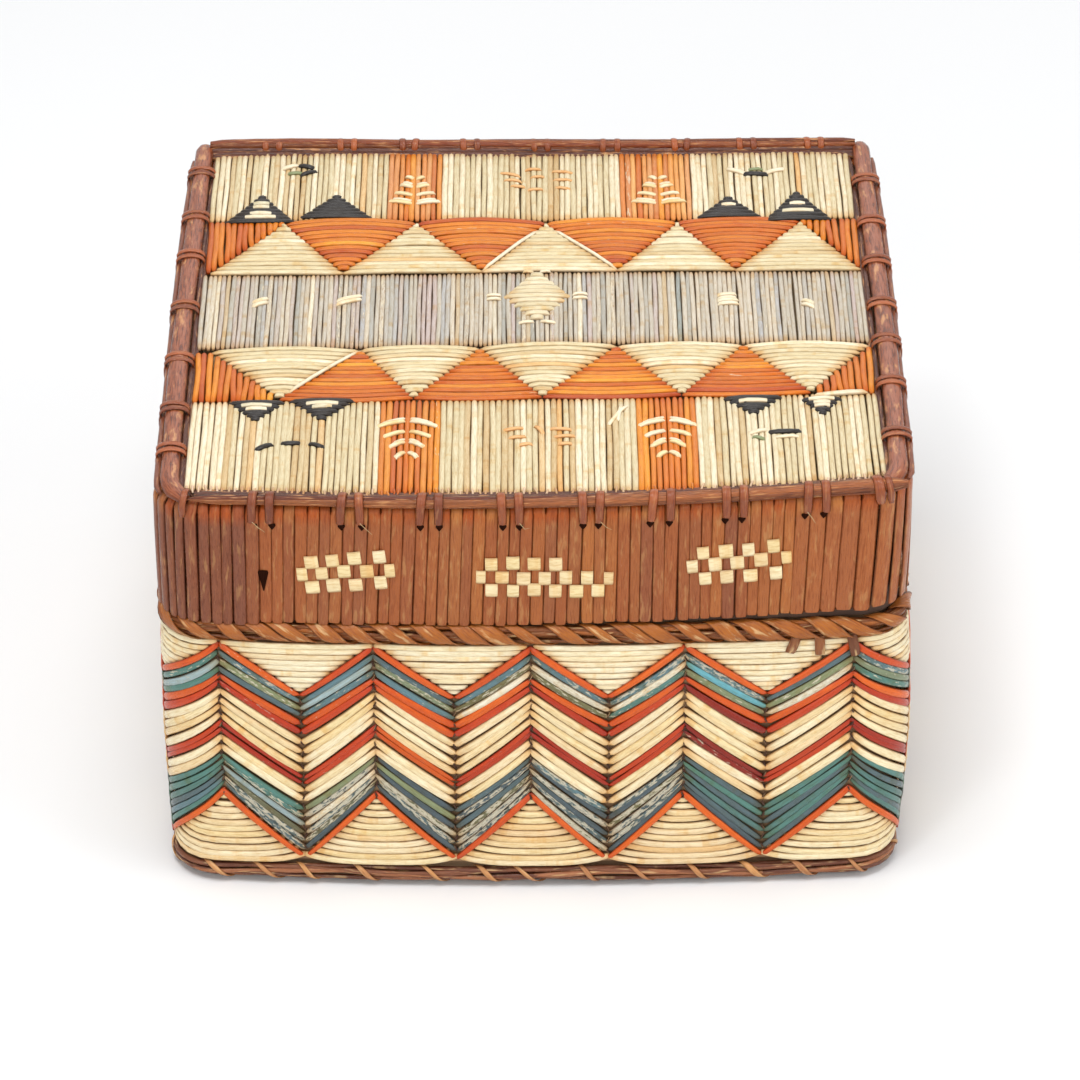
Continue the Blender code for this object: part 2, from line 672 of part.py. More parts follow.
def make_lid_rim(parent):
    """Four separate rods, one along each edge of the lid, each tied down by pairs of lashings."""
    end_rod = (LID_END_ROD_OFFSET, LID_ROD_LEVEL, LID_END_ROD_ACROSS, LID_ROD_UP)
    edge_rod = (LID_SIDE_ROD_OFFSET, LID_ROD_LEVEL, LID_SIDE_ROD_ACROSS, LID_ROD_UP)
    corners = OUTLINE.corners
    front_start = corners[-1] - OUTLINE.length
    for name, size, start, end in (
        ("front", end_rod, front_start, corners[0]),
        ("right", edge_rod, corners[0], corners[1]),
        ("rear", end_rod, corners[1], corners[2]),
        ("left", edge_rod, corners[2], corners[3]),
    ):
        first = start + ROD_JOINT_GAP / 2
        last = end - ROD_JOINT_GAP / 2
        side_rod("lid_rod_" + name, "lid_rod", parent, first, last, *size)
        path = paired_wraps(start, end, LASHINGS_PER_SIDE)
        strand("lid_lashing_" + name, "lashing", parent, path, *size, closed=False)


def make_lid(parent):
    band("lid_wall", "bark", parent, LID_WALL_INNER, LID_WALL_OUTER, LID_BOTTOM, LID_WALL_TOP)
    panel("lid_lining", "lining", parent, LID_WALL_INNER - TOUCH, LID_LINING_BOTTOM, LINING_THICKNESS)
    panel("lid_board", "bark", parent, LID_WALL_OUTER - TOUCH, LID_BOARD_BOTTOM, LID_BOARD_THICKNESS)
    make_lid_rim(parent)
    make_splints(parent)
    make_field(parent)


def make_empty(name, level):
    empty = bpy.data.objects.new(name, None)
    empty.location = (0, 0, level)
    bpy.context.scene.collection.objects.link(empty)
    return empty


for thing in list(bpy.data.objects):
    bpy.data.objects.remove(thing)
MATERIALS = make_materials()
make_body(make_empty("base", 0))
make_lid(make_empty("lid", LID_BOTTOM))
print(f"outline {OUTLINE.length / MM:.1f} mm")
print(f"{len(STATIONS)} sections, height {(LID_ROD_LEVEL + LID_ROD_UP + STRAND_REACH) / MM:.1f} mm")
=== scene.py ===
# Quill box: birch bark covered with dyed quills, with a lid of upright splints and a quilled top.
# Every quill, splint, strand and rod fibre is its own strip, swept along its line by one node tree. Lengths are in mm.
import random
from bisect import bisect_left
from math import atan2, cos, dist, pi, radians, sin
import bpy
from mathutils import Matrix, Vector


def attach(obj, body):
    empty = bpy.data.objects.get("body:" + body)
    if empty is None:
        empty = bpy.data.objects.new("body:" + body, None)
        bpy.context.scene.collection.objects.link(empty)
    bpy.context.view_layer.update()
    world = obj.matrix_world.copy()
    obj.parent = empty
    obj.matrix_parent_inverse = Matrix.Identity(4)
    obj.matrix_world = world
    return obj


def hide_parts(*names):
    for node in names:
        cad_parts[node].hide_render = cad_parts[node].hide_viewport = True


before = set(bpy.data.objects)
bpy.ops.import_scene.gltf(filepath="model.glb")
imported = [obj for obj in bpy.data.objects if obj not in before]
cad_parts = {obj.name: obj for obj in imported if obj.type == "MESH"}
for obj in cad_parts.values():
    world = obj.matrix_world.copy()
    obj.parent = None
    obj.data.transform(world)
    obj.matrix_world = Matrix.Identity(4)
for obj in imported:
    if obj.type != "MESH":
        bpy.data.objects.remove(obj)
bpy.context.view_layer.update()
mm = 0.001
upward = Vector((0, 0, 1))
rng = random.Random(1)  # every piece seeds it again


def clamp(value, low=0, high=1):
    return min(high, max(low, value))


# Shares from 0 to 1 that lie closer together near both ends
def eased(count):
    return [0.5 - 0.5 * cos(pi * k / (count - 1)) for k in range(count)]


def hump(t):
    return max(0, sin(pi * t))


# A random amount that is never below zero
def amount(mean, spread):
    return max(0, rng.gauss(mean, spread))


# Colours, typed as screen values and kept as linear ones
def srgb(*screen):
    return tuple(v / 12.92 if v <= 0.04045 else ((v + 0.055) / 1.055) ** 2.4 for v in (v / 255 for v in screen))


tones = {name: srgb(*screen) for name, screen in {
    "cream": (236, 214, 160), "paleCream": (244, 234, 202), "amber": (220, 166, 92), "tan": (200, 172, 124),
    "orange": (218, 98, 20), "redOrange": (194, 64, 16), "red": (172, 46, 14), "darkRed": (136, 34, 16),
    "faded": (226, 178, 122), "teal": (84, 130, 120), "slate": (84, 104, 108), "navy": (74, 88, 94),
    "greyBlue": (96, 128, 136), "paleBlue": (160, 180, 180), "turquoise": (104, 172, 184), "olive": (112, 108, 70),
    "moss": (134, 144, 104), "white": (232, 224, 198), "lilac": (190, 172, 168), "black": (42, 38, 36),
    "lidCream": (212, 198, 160), "lidPale": (236, 225, 196), "lidOrange": (208, 114, 22), "lidAmber": (228, 152, 44),
    "lidRust": (178, 78, 26), "blueGrey": (160, 160, 152), "skyGrey": (168, 170, 172), "haze": (210, 198, 176),
    "mist": (190, 182, 166),
}.items()}


def mixTone(a, b, t):
    return tuple(x + (y - x) * clamp(t) for x, y in zip(tones.get(a, a), tones.get(b, b)))


# The box's outline, as in the solids: a rounded rectangle with a bowed front and slightly bulging sides
outline = {
    "halfWidth": 84.5, "halfDepth": 80.2, "radius": 9.0, "frontBow": 3.4, "sideBow": 0.8, "cornerSteps": 40, "sideSteps": 80}


def outlinePoints():
    o = outline
    corners, dense, bowed = [], [], []
    for corner, (sx, sy) in enumerate(((1, -1), (1, 1), (-1, 1), (-1, -1))):
        x, y = sx * (o["halfWidth"] - o["radius"]), sy * (o["halfDepth"] - o["radius"])
        for step in range(o["cornerSteps"] + 1):
            turn = pi / 2 * (corner - 1 + step / o["cornerSteps"])
            corners.append((x + o["radius"] * cos(turn), y + o["radius"] * sin(turn)))
    for a, b in zip(corners, corners[1:] + corners[:1]):
        steps = o["sideSteps"] if dist(a, b) > 3 else 1  # only the straight sides are longer
        dense += [(a[0] + (b[0] - a[0]) * k / steps, a[1] + (b[1] - a[1]) * k / steps) for k in range(steps)]
    first = min(range(len(dense)), key=lambda i: abs(dense[i][0]) + 1000 * (dense[i][1] > 0))  # the front's middle
    for x, y in dense[first:] + dense[:first]:
        u, v = x / o["halfWidth"], y / o["halfDepth"]
        bowed.append(Vector((x - o["sideBow"] * u * v * v, y + o["frontBow"] * u * u * max(0, -v), 0)))
    return bowed + bowed[:1]


edgePoints = outlinePoints()
edgeRun = [0.0]
for a, b in zip(edgePoints, edgePoints[1:]):
    edgeRun.append(edgeRun[-1] + (b - a).length)
edgeLength = edgeRun[-1]


# The outline's point at a distance round it from the front's middle
def edgeAt(s):
    s %= edgeLength
    i = max(1, bisect_left(edgeRun, s))
    return edgePoints[i - 1].lerp(edgePoints[i], (s - edgeRun[i - 1]) / (edgeRun[i] - edgeRun[i - 1]))


def edgeOut(s):
    along = (edgeAt(s + 0.5) - edgeAt(s - 0.5)).normalized()
    return Vector((along.y, -along.x, 0))


# How far round the outline the front's point at x lies
def frontRun(x):
    at = Vector((x, -90, 0))
    run, nearest = min(zip(edgeRun, edgePoints), key=lambda pair: (pair[1] - at).length)
    along = (edgeAt(run + 0.2) - edgeAt(run - 0.2)).normalized()
    return run + clamp(along.dot(at - nearest), -1.2, 1.2)


def facing(out, turn):
    return out * cos(turn) + upward * sin(turn)


def wallPoint(s, out, z):
    p = edgeAt(s) + edgeOut(s) * out
    return Vector((p.x, p.y, z))


# One section of a strip on the wall: its point, its half width and the way it faces
def onWall(s, out, z, half, turn=0.0):
    return wallPoint(s, out, z), half, facing(edgeOut(s), turn)


# How far the dried bark has moved
warp = {"frontRight": 3.07, "wave": 0.3, "lidSpread": 0.3, "bellyRight": 1.9, "bellyLeft": 0.8}


# The lid's front right corner stands a little high, its edges wave, and its right side spreads
def warped(p):
    u, v = (clamp(share, -1) * 0.5 + 0.5 for share in (p.x / 85, -p.y / 81))
    lift = warp["frontRight"] * u**1.5 * v**1.5 + warp["wave"] * sin(p.x * 0.045 + 0.8) * cos(p.y * 0.05)
    return Vector((p.x + warp["lidSpread"] * max(0, p.x / 85) ** 6, p.y, p.z + lift))


# The body's sides swell a little at mid height, more on the right
def bellied(p):
    swell = warp["bellyRight"] if p.x > 0 else -warp["bellyLeft"]
    rise = hump(clamp((p.z - 4) / 68)) ** 0.8
    return Vector((p.x + swell * min(1, abs(p.x) / 85) ** 8 * rise, p.y, p.z))


# A node's output, which adds Math nodes as it is used in an expression
class Value:
    def __init__(self, tree, socket):
        self.tree, self.socket = tree, socket

    def maths(self, operation, *others):
        return self.tree.node("ShaderNodeMath", {"operation": operation}, dict(enumerate((self, *others))))

    def __add__(self, other):
        return self.maths("ADD", other)

    def __sub__(self, other):
        return self.maths("SUBTRACT", other)

    def __mul__(self, other):
        return self.maths("MULTIPLY", other)

    def clip(self):
        return self.maths("MAXIMUM", 0).maths("MINIMUM", 1)

    def size(self):
        return self.maths("ABSOLUTE")


# A node tree under construction; node() adds any node, and links the values that are another node's output
class Tree:
    def __init__(self, tree):
        self.nodes, self.links = tree.nodes, tree.links

    def node(self, kind, settings=None, values=None, output=0):
        node = self.nodes.new(kind)
        for key, value in (settings or {}).items():
            setattr(node, key, value)
        for key, value in (values or {}).items():
            if isinstance(value, Value):
                self.links.new(value.socket, node.inputs[key])
            elif isinstance(value, tuple) and node.inputs[key].type == "RGBA":
                node.inputs[key].default_value = (*value, 1)
            else:
                node.inputs[key].default_value = value
        return Value(self, node.outputs[output]) if node.outputs else None

    def vector(self, x, y, z):
        return self.node("ShaderNodeCombineXYZ", values={0: x, 1: y, 2: z})

    def vectorMaths(self, operation, a, b):
        return self.node("ShaderNodeVectorMath", {"operation": operation}, {0: a, "Scale" if operation == "SCALE" else 1: b})


class Shader(Tree):
    def __init__(self, name, **fixed):
        self.material = bpy.data.materials.new(name)
        self.material.use_nodes = True
        super().__init__(self.material.node_tree)
        self.bsdf = self.nodes["Principled BSDF"]
        for key, value in fixed.items():
            self.bsdf.inputs[key].default_value = value

    def attribute(self, name, output="Fac"):
        return self.node("ShaderNodeAttribute", {"attribute_name": name}, output=output)

    def noise(self, vector, scale, detail=3.0, roughness=0.55):
        return self.node("ShaderNodeTexNoise", values={
            "Vector": vector, "Scale": scale, "Detail": detail, "Roughness": roughness})

    def span(self, value, low, high, to0=0.0, to1=1.0):
        return self.node("ShaderNodeMapRange", {"interpolation_type": "SMOOTHSTEP"}, {
            "Value": value, "From Min": low, "From Max": high, "To Min": to0, "To Max": to1})

    def mix(self, factor, a, b, blend="MIX"):
        return self.node("ShaderNodeMix", {"data_type": "RGBA", "blend_type": blend}, {0: factor, 6: a, 7: b}, output=2)

    def tint(self, factor, colour, by):
        return self.mix(factor, colour, by, "MULTIPLY")

    def finish(self, colour, roughness, height, bump, distance):
        normal = self.node("ShaderNodeBump", values={"Strength": bump, "Distance": distance, "Height": height})
        for key, value in (("Base Color", colour), ("Roughness", roughness), ("Normal", normal)):
            self.links.new(value.socket, self.bsdf.inputs[key])
        return self.material


# A material that reads what each strip stores along itself
class StripShader(Shader):
    def __init__(self, name, shine):
        super().__init__(name, **{"Specular IOR Level": shine})
        self.tone = self.attribute("tone", "Color")
        self.run, self.across, self.seed, self.wear = (self.attribute(key) for key in ("run", "across", "seed", "wear"))

    # Noise stretched across and along the strips, which each strip's seed moves elsewhere
    def grain(self, across, run, shift, drift, scale, detail=3.0, roughness=0.55):
        at = self.vector(self.across * across + self.seed * shift, self.run * run, self.seed * drift)
        return self.noise(at, scale, detail, roughness)


def linked(name, data):
    thing = bpy.data.objects.new(name, data)
    bpy.context.scene.collection.objects.link(thing)
    return thing


# The lines of one piece; a section of a strip is its point, its half width and the way it faces
class Strips:
    def __init__(self, bend):
        self.points, self.edges, self.bend = [], [], bend
        self.stored = {name: [] for name in ("half", "face", "tone", "run", "seed", "wear", "tip", "thick")}

    def add(self, sections, tone, wear=0.0, taper=(1.0, 1.0), thick=1.0, seed=None):
        seed = rng.random() if seed is None else seed
        points = [section[0] for section in sections]
        colours = tone if isinstance(tone, list) else [tone] * len(points)
        first, last, run = len(self.points), len(points) - 1, 0.0
        total = sum((b - a).length for a, b in zip(points, points[1:]))
        for i, ((point, half, face), colour) in enumerate(zip(sections, colours)):
            if i:
                run += (point - points[i - 1]).length
                self.edges.append((first + i - 1, first + i))
            half *= taper[0] if i == 0 else taper[1] if i == last else 1
            tip = min(run, total - run) if total > 13 else 9.0  # short ones get no darker ends
            self.points.append(self.bend(point) * mm)
            values = half * mm, face.normalized(), (*tones.get(colour, colour), 1), run, seed, wear, tip, thick
            for stored, value in zip(self.stored.values(), values):
                stored.append(value)

    def object(self, name):
        mesh = bpy.data.meshes.new(name)
        mesh.from_pydata(self.points, self.edges, [])
        kinds = {"face": ("FLOAT_VECTOR", "vector"), "tone": ("FLOAT_COLOR", "color")}
        for key, values in self.stored.items():
            kind, field = kinds.get(key, ("FLOAT", "value"))
            layer = mesh.attributes.new(key, kind, "POINT")
            layer.data.foreach_set(field, values if field == "value" else [c for v in values for c in v])
        return linked(name, mesh)


# Node tree: each line becomes a curve turned to its face, and is swept with a flattened round profile
def sweepTree():
    group = bpy.data.node_groups.new("sweepStrips", "GeometryNodeTree")
    for name, kind, value in (
            ("Lines", "Geometry", None), ("Sides", "Int", 8), ("Flatness", "Float", 0.5), ("Ripple", "Float", 0.0),
            ("Ripple Scale", "Float", 400.0), ("Material", "Material", None)):
        socket = group.interface.new_socket(name, in_out="INPUT", socket_type="NodeSocket" + kind)
        if value is not None:
            socket.default_value = value
    group.interface.new_socket("Strips", in_out="OUTPUT", socket_type="NodeSocketGeometry")
    t = Tree(group)
    lines, sides, flatness, ripple, rippleScale, material = (
        Value(t, socket) for socket in t.nodes.new("NodeGroupInput").outputs[:6])

    def named(name, kind="FLOAT"):
        return t.node("GeometryNodeInputNamedAttribute", {"data_type": kind}, {"Name": name})

    place, half, face = t.node("GeometryNodeInputPosition"), named("half"), named("face", "FLOAT_VECTOR")
    curve = t.node("GeometryNodeMeshToCurve", values={"Mesh": lines})
    curve = t.node("GeometryNodeSetCurveNormal", {"mode": "FREE"}, {"Curve": curve, "Normal": face})
    profile = t.node("GeometryNodeCurvePrimitiveCircle", values={"Radius": 1.0, "Resolution": sides})
    profile = t.node("GeometryNodeTransform", values={"Geometry": profile, "Scale": t.vector(flatness, 1.0, 1.0)})
    for name, axis in (("across", "Y"), ("rise", "X")):
        value = t.node("ShaderNodeSeparateXYZ", values={"Vector": place}, output=axis)
        profile = t.node("GeometryNodeStoreNamedAttribute", {"data_type": "FLOAT", "domain": "POINT"}, {
            "Geometry": profile, "Name": name, "Value": value})
    strips = t.node("GeometryNodeCurveToMesh", values={
        "Curve": curve, "Profile Curve": profile, "Scale": half, "Fill Caps": True})
    thicken = t.vectorMaths("SCALE", face, named("rise") * half * (named("thick") - 1.0))
    grain = t.node("ShaderNodeTexNoise", values={"Vector": place, "Scale": rippleScale, "Detail": 2.0}, output="Color")
    push = t.vectorMaths("SCALE", t.vectorMaths("SUBTRACT", grain, (0.5, 0.5, 0.5)), ripple)
    for kind, values in (
            ("SetPosition", {"Offset": t.vectorMaths("ADD", push, thicken)}), ("SetShadeSmooth", {}),
            ("RealizeInstances", {}), ("SetMaterial", {"Material": material})):
        strips = t.node("GeometryNode" + kind, values={"Geometry": strips, **values})
    t.node("NodeGroupOutput", values={"Strips": strips})
    return group


sweeper = sweepTree()
sweepInputs = {item.name: item.identifier for item in sweeper.interface.items_tree if item.in_out == "INPUT"}


# Runs the tree on one piece's lines and keeps the result as a plain mesh on its body
def sweep(strips, name, body, material, slot, stands=None, flatness=0.5, sides=8, ripple=0.0, rippleScale=400.0):
    lines = strips.object(name + "Lines")
    modifier = lines.modifiers.new("sweep", "NODES")
    modifier.node_group = sweeper
    inputs = {
        "Sides": sides, "Flatness": flatness, "Ripple": ripple * mm, "Ripple Scale": rippleScale, "Material": material}
    for key, value in inputs.items():
        modifier[sweepInputs[key]] = value
    mesh = bpy.data.meshes.new_from_object(lines.evaluated_get(bpy.context.evaluated_depsgraph_get()))
    bpy.data.objects.remove(lines)
    mesh.name = name
    piece = linked(name, mesh)
    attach(piece, body)
    if stands:
        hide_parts(stands)
    print(f"{name}: {len(strips.edges)} segments, {len(mesh.polygons)} faces")


# Dyed quill: streaks along it, stains and worn patches where wear is high, warm and darker ends, painted shade along
# its edges where quills meet
def makeQuillMaterial(name, gloss, gapShade, pale, wornDark, wearScale, shine):
    s = StripShader(name, shine)
    wear, tip = s.wear, s.attribute("tip")
    streak = s.grain(1.6, 0.16, 71, 43, 2.4)
    broad = s.grain(0.3, 0.05, 37, 23, 2.5, 2.0)
    banded = s.grain(0.0, 0.11, 31, 59, 2.2)
    mottled = s.grain(0.9, 0.3, 17, 67, 3.0, 3.0, 0.6)
    blotchy = s.grain(0.5, wearScale, 53, 29, 3.2, 4.0, 0.62)
    fine = s.grain(9.0, 0.9, 91, 17, 2.0, 2.0)
    flecks = s.grain(2.0, 0.6, 19, 61, 3.5, 2.0)
    colour = s.tint(s.span(streak, 0.38, 0.74), s.tone, (0.84, 0.74, 0.60))
    colour = s.tint(s.span(broad, 0.58, 0.34, 0.0, 0.8), colour, (1.12, 1.14, 1.20))
    colour = s.tint(s.span(banded, 0.54, 0.72, 0.0, 0.75), colour, (0.93, 0.74, 0.47))
    colour = s.tint(s.span(mottled, 0.50, 0.68) * s.span(wear, 0.3, 0.7), colour, (0.72, 0.52, 0.30))
    worn = s.span(blotchy + wear * 0.40 - 0.33, 0.42, 0.49) * s.span(wear, 0.02, 0.25, 0.0, 0.8)
    colour = s.mix(worn, colour, s.mix(s.span(fine, 0.35, 0.7), pale, wornDark))
    colour = s.tint(s.span(tip, 4.0, 0.4, 0.0, 0.8), colour, (0.88, 0.64, 0.40))
    # Painted shade along each quill's edges where it meets its neighbours, and darker within about a mm of its ends
    gapShadeAndDarkEnds = (s.span(s.across.size(), 0.62, 0.98) * gapShade + s.span(tip, 0.9, 0.0, 0.0, 0.5)).clip()
    colour = s.tint(gapShadeAndDarkEnds, colour, (0.36, 0.19, 0.085))
    colour = s.mix(s.span(flecks, 0.71, 0.78) * 0.45, colour, (0.17, 0.09, 0.05))
    roughness = s.span(fine, 0.2, 0.8, gloss - 0.08, gloss + 0.14) + worn * 0.2
    return s.finish(colour, roughness, streak * 0.5 + fine * 0.4 - worn * 0.5, 0.4, 0.00018)


# Split wood or root: grain along it, golden patches, pale scratches and painted shade at its edges
def makeWoodMaterial(name, gloss, dark, golden, goldenShare, scratches, edgeShade, shine):
    s = StripShader(name, shine)
    grain = s.grain(2.6, 0.10, 83, 31, 2.6, 4.0, 0.6)
    broad = s.grain(0.6, 0.07, 47, 13, 2.4)
    scratch = s.grain(5.0, 0.25, 37, 59, 2.2)
    fine = s.grain(12.0, 0.35, 41, 11, 2.0, 2.0)
    colour = s.tint(s.span(grain, 0.42, 0.72), s.tone, dark)
    colour = s.mix(s.span(broad, 0.54, 0.70, 0.0, goldenShare), colour, golden)
    colour = s.mix(s.span(scratch, 0.69, 0.75, 0.0, scratches), colour, (0.66, 0.47, 0.30))
    lines = (s.span(fine, 0.55, 0.75, 0.0, 0.35) + s.span(scratch, 0.44, 0.32) * s.wear).clip()
    colour = s.tint(lines, colour, (0.50, 0.38, 0.32))
    # Painted shade towards each strip's edges, where it meets its neighbours
    colour = s.tint(s.span(s.across.size(), 0.74, 0.98) * edgeShade, colour, (0.25, 0.17, 0.13))
    roughness = s.span(grain, 0.3, 0.75, gloss - 0.08, gloss + 0.18) - s.wear * 0.1
    return s.finish(colour, roughness, grain * 0.6 + fine * 0.4, 0.5, 0.0003)


# Bark: thin layers, blots and the short level dashes of birch
def makeBarkMaterial(name, light, dark):
    s = Shader(name)
    place = s.node("ShaderNodeTexCoord", output="Object")
    layers = s.noise(s.vectorMaths("MULTIPLY", place, (18, 18, 160)), 1.0, 5.0, 0.6)
    dashes = s.noise(s.vectorMaths("MULTIPLY", place, (55, 55, 620)), 1.0, 2.0)
    colour = s.mix(s.span(layers, 0.35, 0.70), light, dark)
    colour = s.mix(s.span(s.noise(place, 22, 4.0, 0.6), 0.45, 0.75, 0.0, 0.5), colour, dark)
    colour = s.tint(s.span(dashes, 0.68, 0.72, 0.0, 0.8), colour, (0.35, 0.30, 0.26))
    return s.finish(colour, s.span(layers, 0.3, 0.8, 0.62, 0.82), layers * 0.7 + dashes * 0.3, 0.5, 0.0006)


# gloss, painted shade at the edges, pale and dark worn colours, length of the worn patches, and shine
bodyQuill = makeQuillMaterial("bodyQuill", 0.24, 0.72, (0.74, 0.69, 0.53), (0.42, 0.36, 0.24), 0.15, 0.35)
lidQuill = makeQuillMaterial("lidQuill", 0.30, 0.55, (0.80, 0.72, 0.54), (0.62, 0.50, 0.33), 0.07, 0.28)
# gloss, dark tint, golden tone and its share, scratches, painted shade at the edges and shine
splintWood = makeWoodMaterial("splintWood", 0.30, (0.66, 0.54, 0.44), (0.60, 0.32, 0.12), 0.36, 0.25, 0.75, 0.2)
rodWood = makeWoodMaterial("rodWood", 0.15, (0.22, 0.13, 0.09), (0.62, 0.29, 0.11), 0.72, 0.42, 0.5, 0.3)
coilRoot = makeWoodMaterial("coilRoot", 0.28, (0.58, 0.44, 0.33), (0.74, 0.48, 0.22), 0.70, 0.3, 0.55, 0.3)
lashingRoot = makeWoodMaterial("lashingRoot", 0.18, (0.60, 0.42, 0.30), (0.50, 0.20, 0.07), 0.50, 0.2, 0.55, 0.38)
# Painted shadow: the dark inside of the hole and of the lashings' slots in the front splints
slotShadow = makeWoodMaterial("slotShadow", 0.7, (0.6, 0.5, 0.45), (0.03, 0.015, 0.01), 0.2, 0.0, 0.3, 0.0)
outerBark = makeBarkMaterial("outerBark", (0.20, 0.11, 0.055), (0.10, 0.05, 0.025))
innerBark = makeBarkMaterial("innerBark", (0.46, 0.29, 0.16), (0.28, 0.15, 0.075))
barks = {
    "neck": innerBark, "base_lining": innerBark, "lid_lining": innerBark,
    "lid_wall": makeBarkMaterial("shadedBark", (0.13, 0.065, 0.035), (0.06, 0.03, 0.018)),
    "body_wall": makeBarkMaterial("quillBark", (0.36, 0.22, 0.11), (0.22, 0.12, 0.06)),
    "lid_board": makeBarkMaterial("lidBark", (0.52, 0.38, 0.21), (0.36, 0.24, 0.12)),
}
for node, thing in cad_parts.items():
    for slot in thing.material_slots:
        slot.material = barks.get(node, outerBark)
print("materials made")

# Quills on the body: slanted ones in chevrons, level ones in the triangles over and under them
bodyWork = {
    "seed": 7, "proud": 1.45, "sunk": 0.45, "profile": {"flatness": 0.50, "ripple": 0.10, "rippleScale": 500},
    "columnWidth": 17.85, "halfColumns": 36, "onFace": 8, "onSide": 10, "frontStretch": 1.004,
    "frontEdges": (-71.8, -53.4, -36.5, -18.3, -0.8, 17.0, 34.3, 53.0, 72.5),
    # each band: its name, slot and quills, its lower and upper level at a valley, and the same at a peak
    "bands": (
        ("lower_orange_edge", "orange", 1, (6.5, 8.5), (25.3, 28.0)),
        ("lower_blue_chevron", "slate", 6, (8.5, 22.6), (28.0, 37.8)),
        ("lower_cream_chevron", "cream", 2, (22.6, 27.9), (37.8, 43.2)),
        ("red_chevron", "red", 2, (27.9, 31.1), (43.2, 47.0)),
        ("cream_chevron", "cream", 4, (31.1, 41.9), (47.0, 56.3)),
        ("orange_chevron", "orange", 2, (41.9, 47.3), (56.3, 60.2)),
        ("upper_blue_chevron", "teal", 3, (47.3, 53.0), (60.2, 66.9)),
        ("upper_orange_edge", "orange", 1, (53.0, 55.0), (66.9, 69.3)),
    ),
    "top": 69.2, "bottom": 6.2, "upperRows": 9, "lowerRows": 11, "shortestRow": 2.4,
}


# Distances round the box of the half columns' edges; the front's own are measured from the photograph
def columnEdges():
    w, half = bodyWork, edgeLength / 2
    width, onFace, onSide = w["columnWidth"], w["onFace"], w["onSide"]
    face, edges = onFace * width, []
    for column in range(w["halfColumns"]):
        halfTurn, place = divmod(column + onFace // 2, onFace + onSide)
        down = max(0, place - onFace) * (half - face) / onSide
        edges.append(halfTurn * half + min(place, onFace) * width + down - face / 2)
    for place, x in enumerate(w["frontEdges"], -onFace // 2):
        edges[place] = x * w["frontStretch"] + edgeLength * (place < 0)
    return edges + [edges[0] + edgeLength]


bodyEdges = columnEdges()

# A letter for each quill of the half columns, from below: two columns of the left side, then the front's from the left
letters = {
    "g": "greyBlue", "p": "paleBlue", "t": "teal", "s": "slate", "m": "moss", "w": "white", "o": "olive", "q": "turquoise",
    "n": "navy", "e": "redOrange", "r": "red", "a": "orange", "d": "darkRed"}
upperBlues = "gpt tpt smg gpg gms wog owg twg mqg wms tmg gpt".split()
lowerBlues = "ttgttg tgsttt ssoptt noswnm nsonmn nnosns osnsng nsnons nststs sttstt tsttst tgtstg".split()
reds = "eereaeredera"


# Tone and wear of one quill; the tones of 12 half columns repeat round the box
def bodyTone(band, column, quill):
    column %= 12
    red = letters[reds[column]]
    if band == "upper_blue_chevron":
        return mixTone(letters[upperBlues[column][quill]], "slate", rng.random() * 0.3), 0.1 + 0.6 * rng.random()
    if band == "lower_blue_chevron":
        tone, clean = mixTone(letters[lowerBlues[column][quill]], "navy", rng.random() * 0.35), column < 2 or column > 7
        worn = rng.random() < 0.55
        return tone, rng.uniform(*(0.02, 0.17) if clean else (0.65, 0.95) if worn else (0.15, 0.4))
    if "cream" in band:
        tone = mixTone("cream", "amber", amount(0.10, 0.2))
        return mixTone(tone, "paleCream", rng.random() * 0.7), 0.0
    if band == "red_chevron":
        return mixTone(red, "darkRed", rng.random() * 0.35), amount(0.05, 0.18)
    if band == "orange_chevron":
        return mixTone("orange" if quill else red, "redOrange", rng.random() * 0.5), amount(0.05, 0.2)
    return mixTone("orange", "redOrange", amount(0.3, 0.3)), amount(0, 0.15)


def makeBodyQuills():
    w = bodyWork
    rng.seed(w["seed"])
    made = [Strips(bellied) for band in w["bands"]]
    for column, (start, end) in enumerate(zip(bodyEdges, bodyEdges[1:])):
        shares = eased(13 if edgeOut(start).angle(edgeOut(end)) > 0.5 else 8)  # more sections round a corner
        looseStart, looseEnd = column == 5, column == 30  # the seams just behind the front corners show quill ends
        for strips, (name, slot, quills, *levels) in zip(made, w["bands"]):
            single = quills == 1
            pinch, proud = 0.75 if single else 0.58, w["proud"] + 0.25 * single
            for quill in range(quills):
                ends = [(low + (high - low) * (quill + 0.5) / quills, (high - low) / quills) for low, high in levels]
                (za, wa), (zb, wb) = ends if column % 2 else ends[::-1]  # a peak stands at every even edge
                slope = cos(atan2(zb - za, end - start))
                drift, bow = rng.gauss(0, 0.07), rng.gauss(0, 0.2)
                swell = (1.0 if single else 1.09) + rng.gauss(0, 0.04)
                early = start + rng.uniform(-0.45, 0.25) - looseStart * rng.uniform(0, 1.2)
                late = end + rng.uniform(-0.25, 0.45) + looseEnd * rng.uniform(0, 1.2)
                sections = []
                for t in shares:
                    lift = hump(t) ** 0.4
                    if (looseStart and t < 0.5) or (looseEnd and t > 0.5):
                        lift = max(lift, 0.75)
                    z = za + (zb - za) * t + drift + bow * hump(t)
                    half = 0.5 * (wa + (wb - wa) * t) * slope * swell * (pinch + (1.05 - pinch) * lift)
                    sections.append(onWall(early + (late - early) * t, w["sunk"] + (proud - w["sunk"]) * lift, z, half))
                tone, wear = bodyTone(name, column + 6, quill)
                strips.add(sections, tone, wear, (0.62, 0.62), seed=rng.random(), thick=rng.uniform(0.9, 1.15))
    for strips, (name, slot, *rest) in zip(made, w["bands"]):
        sweep(strips, name + "_quills", "base", bodyQuill, slot, name, **w["profile"])


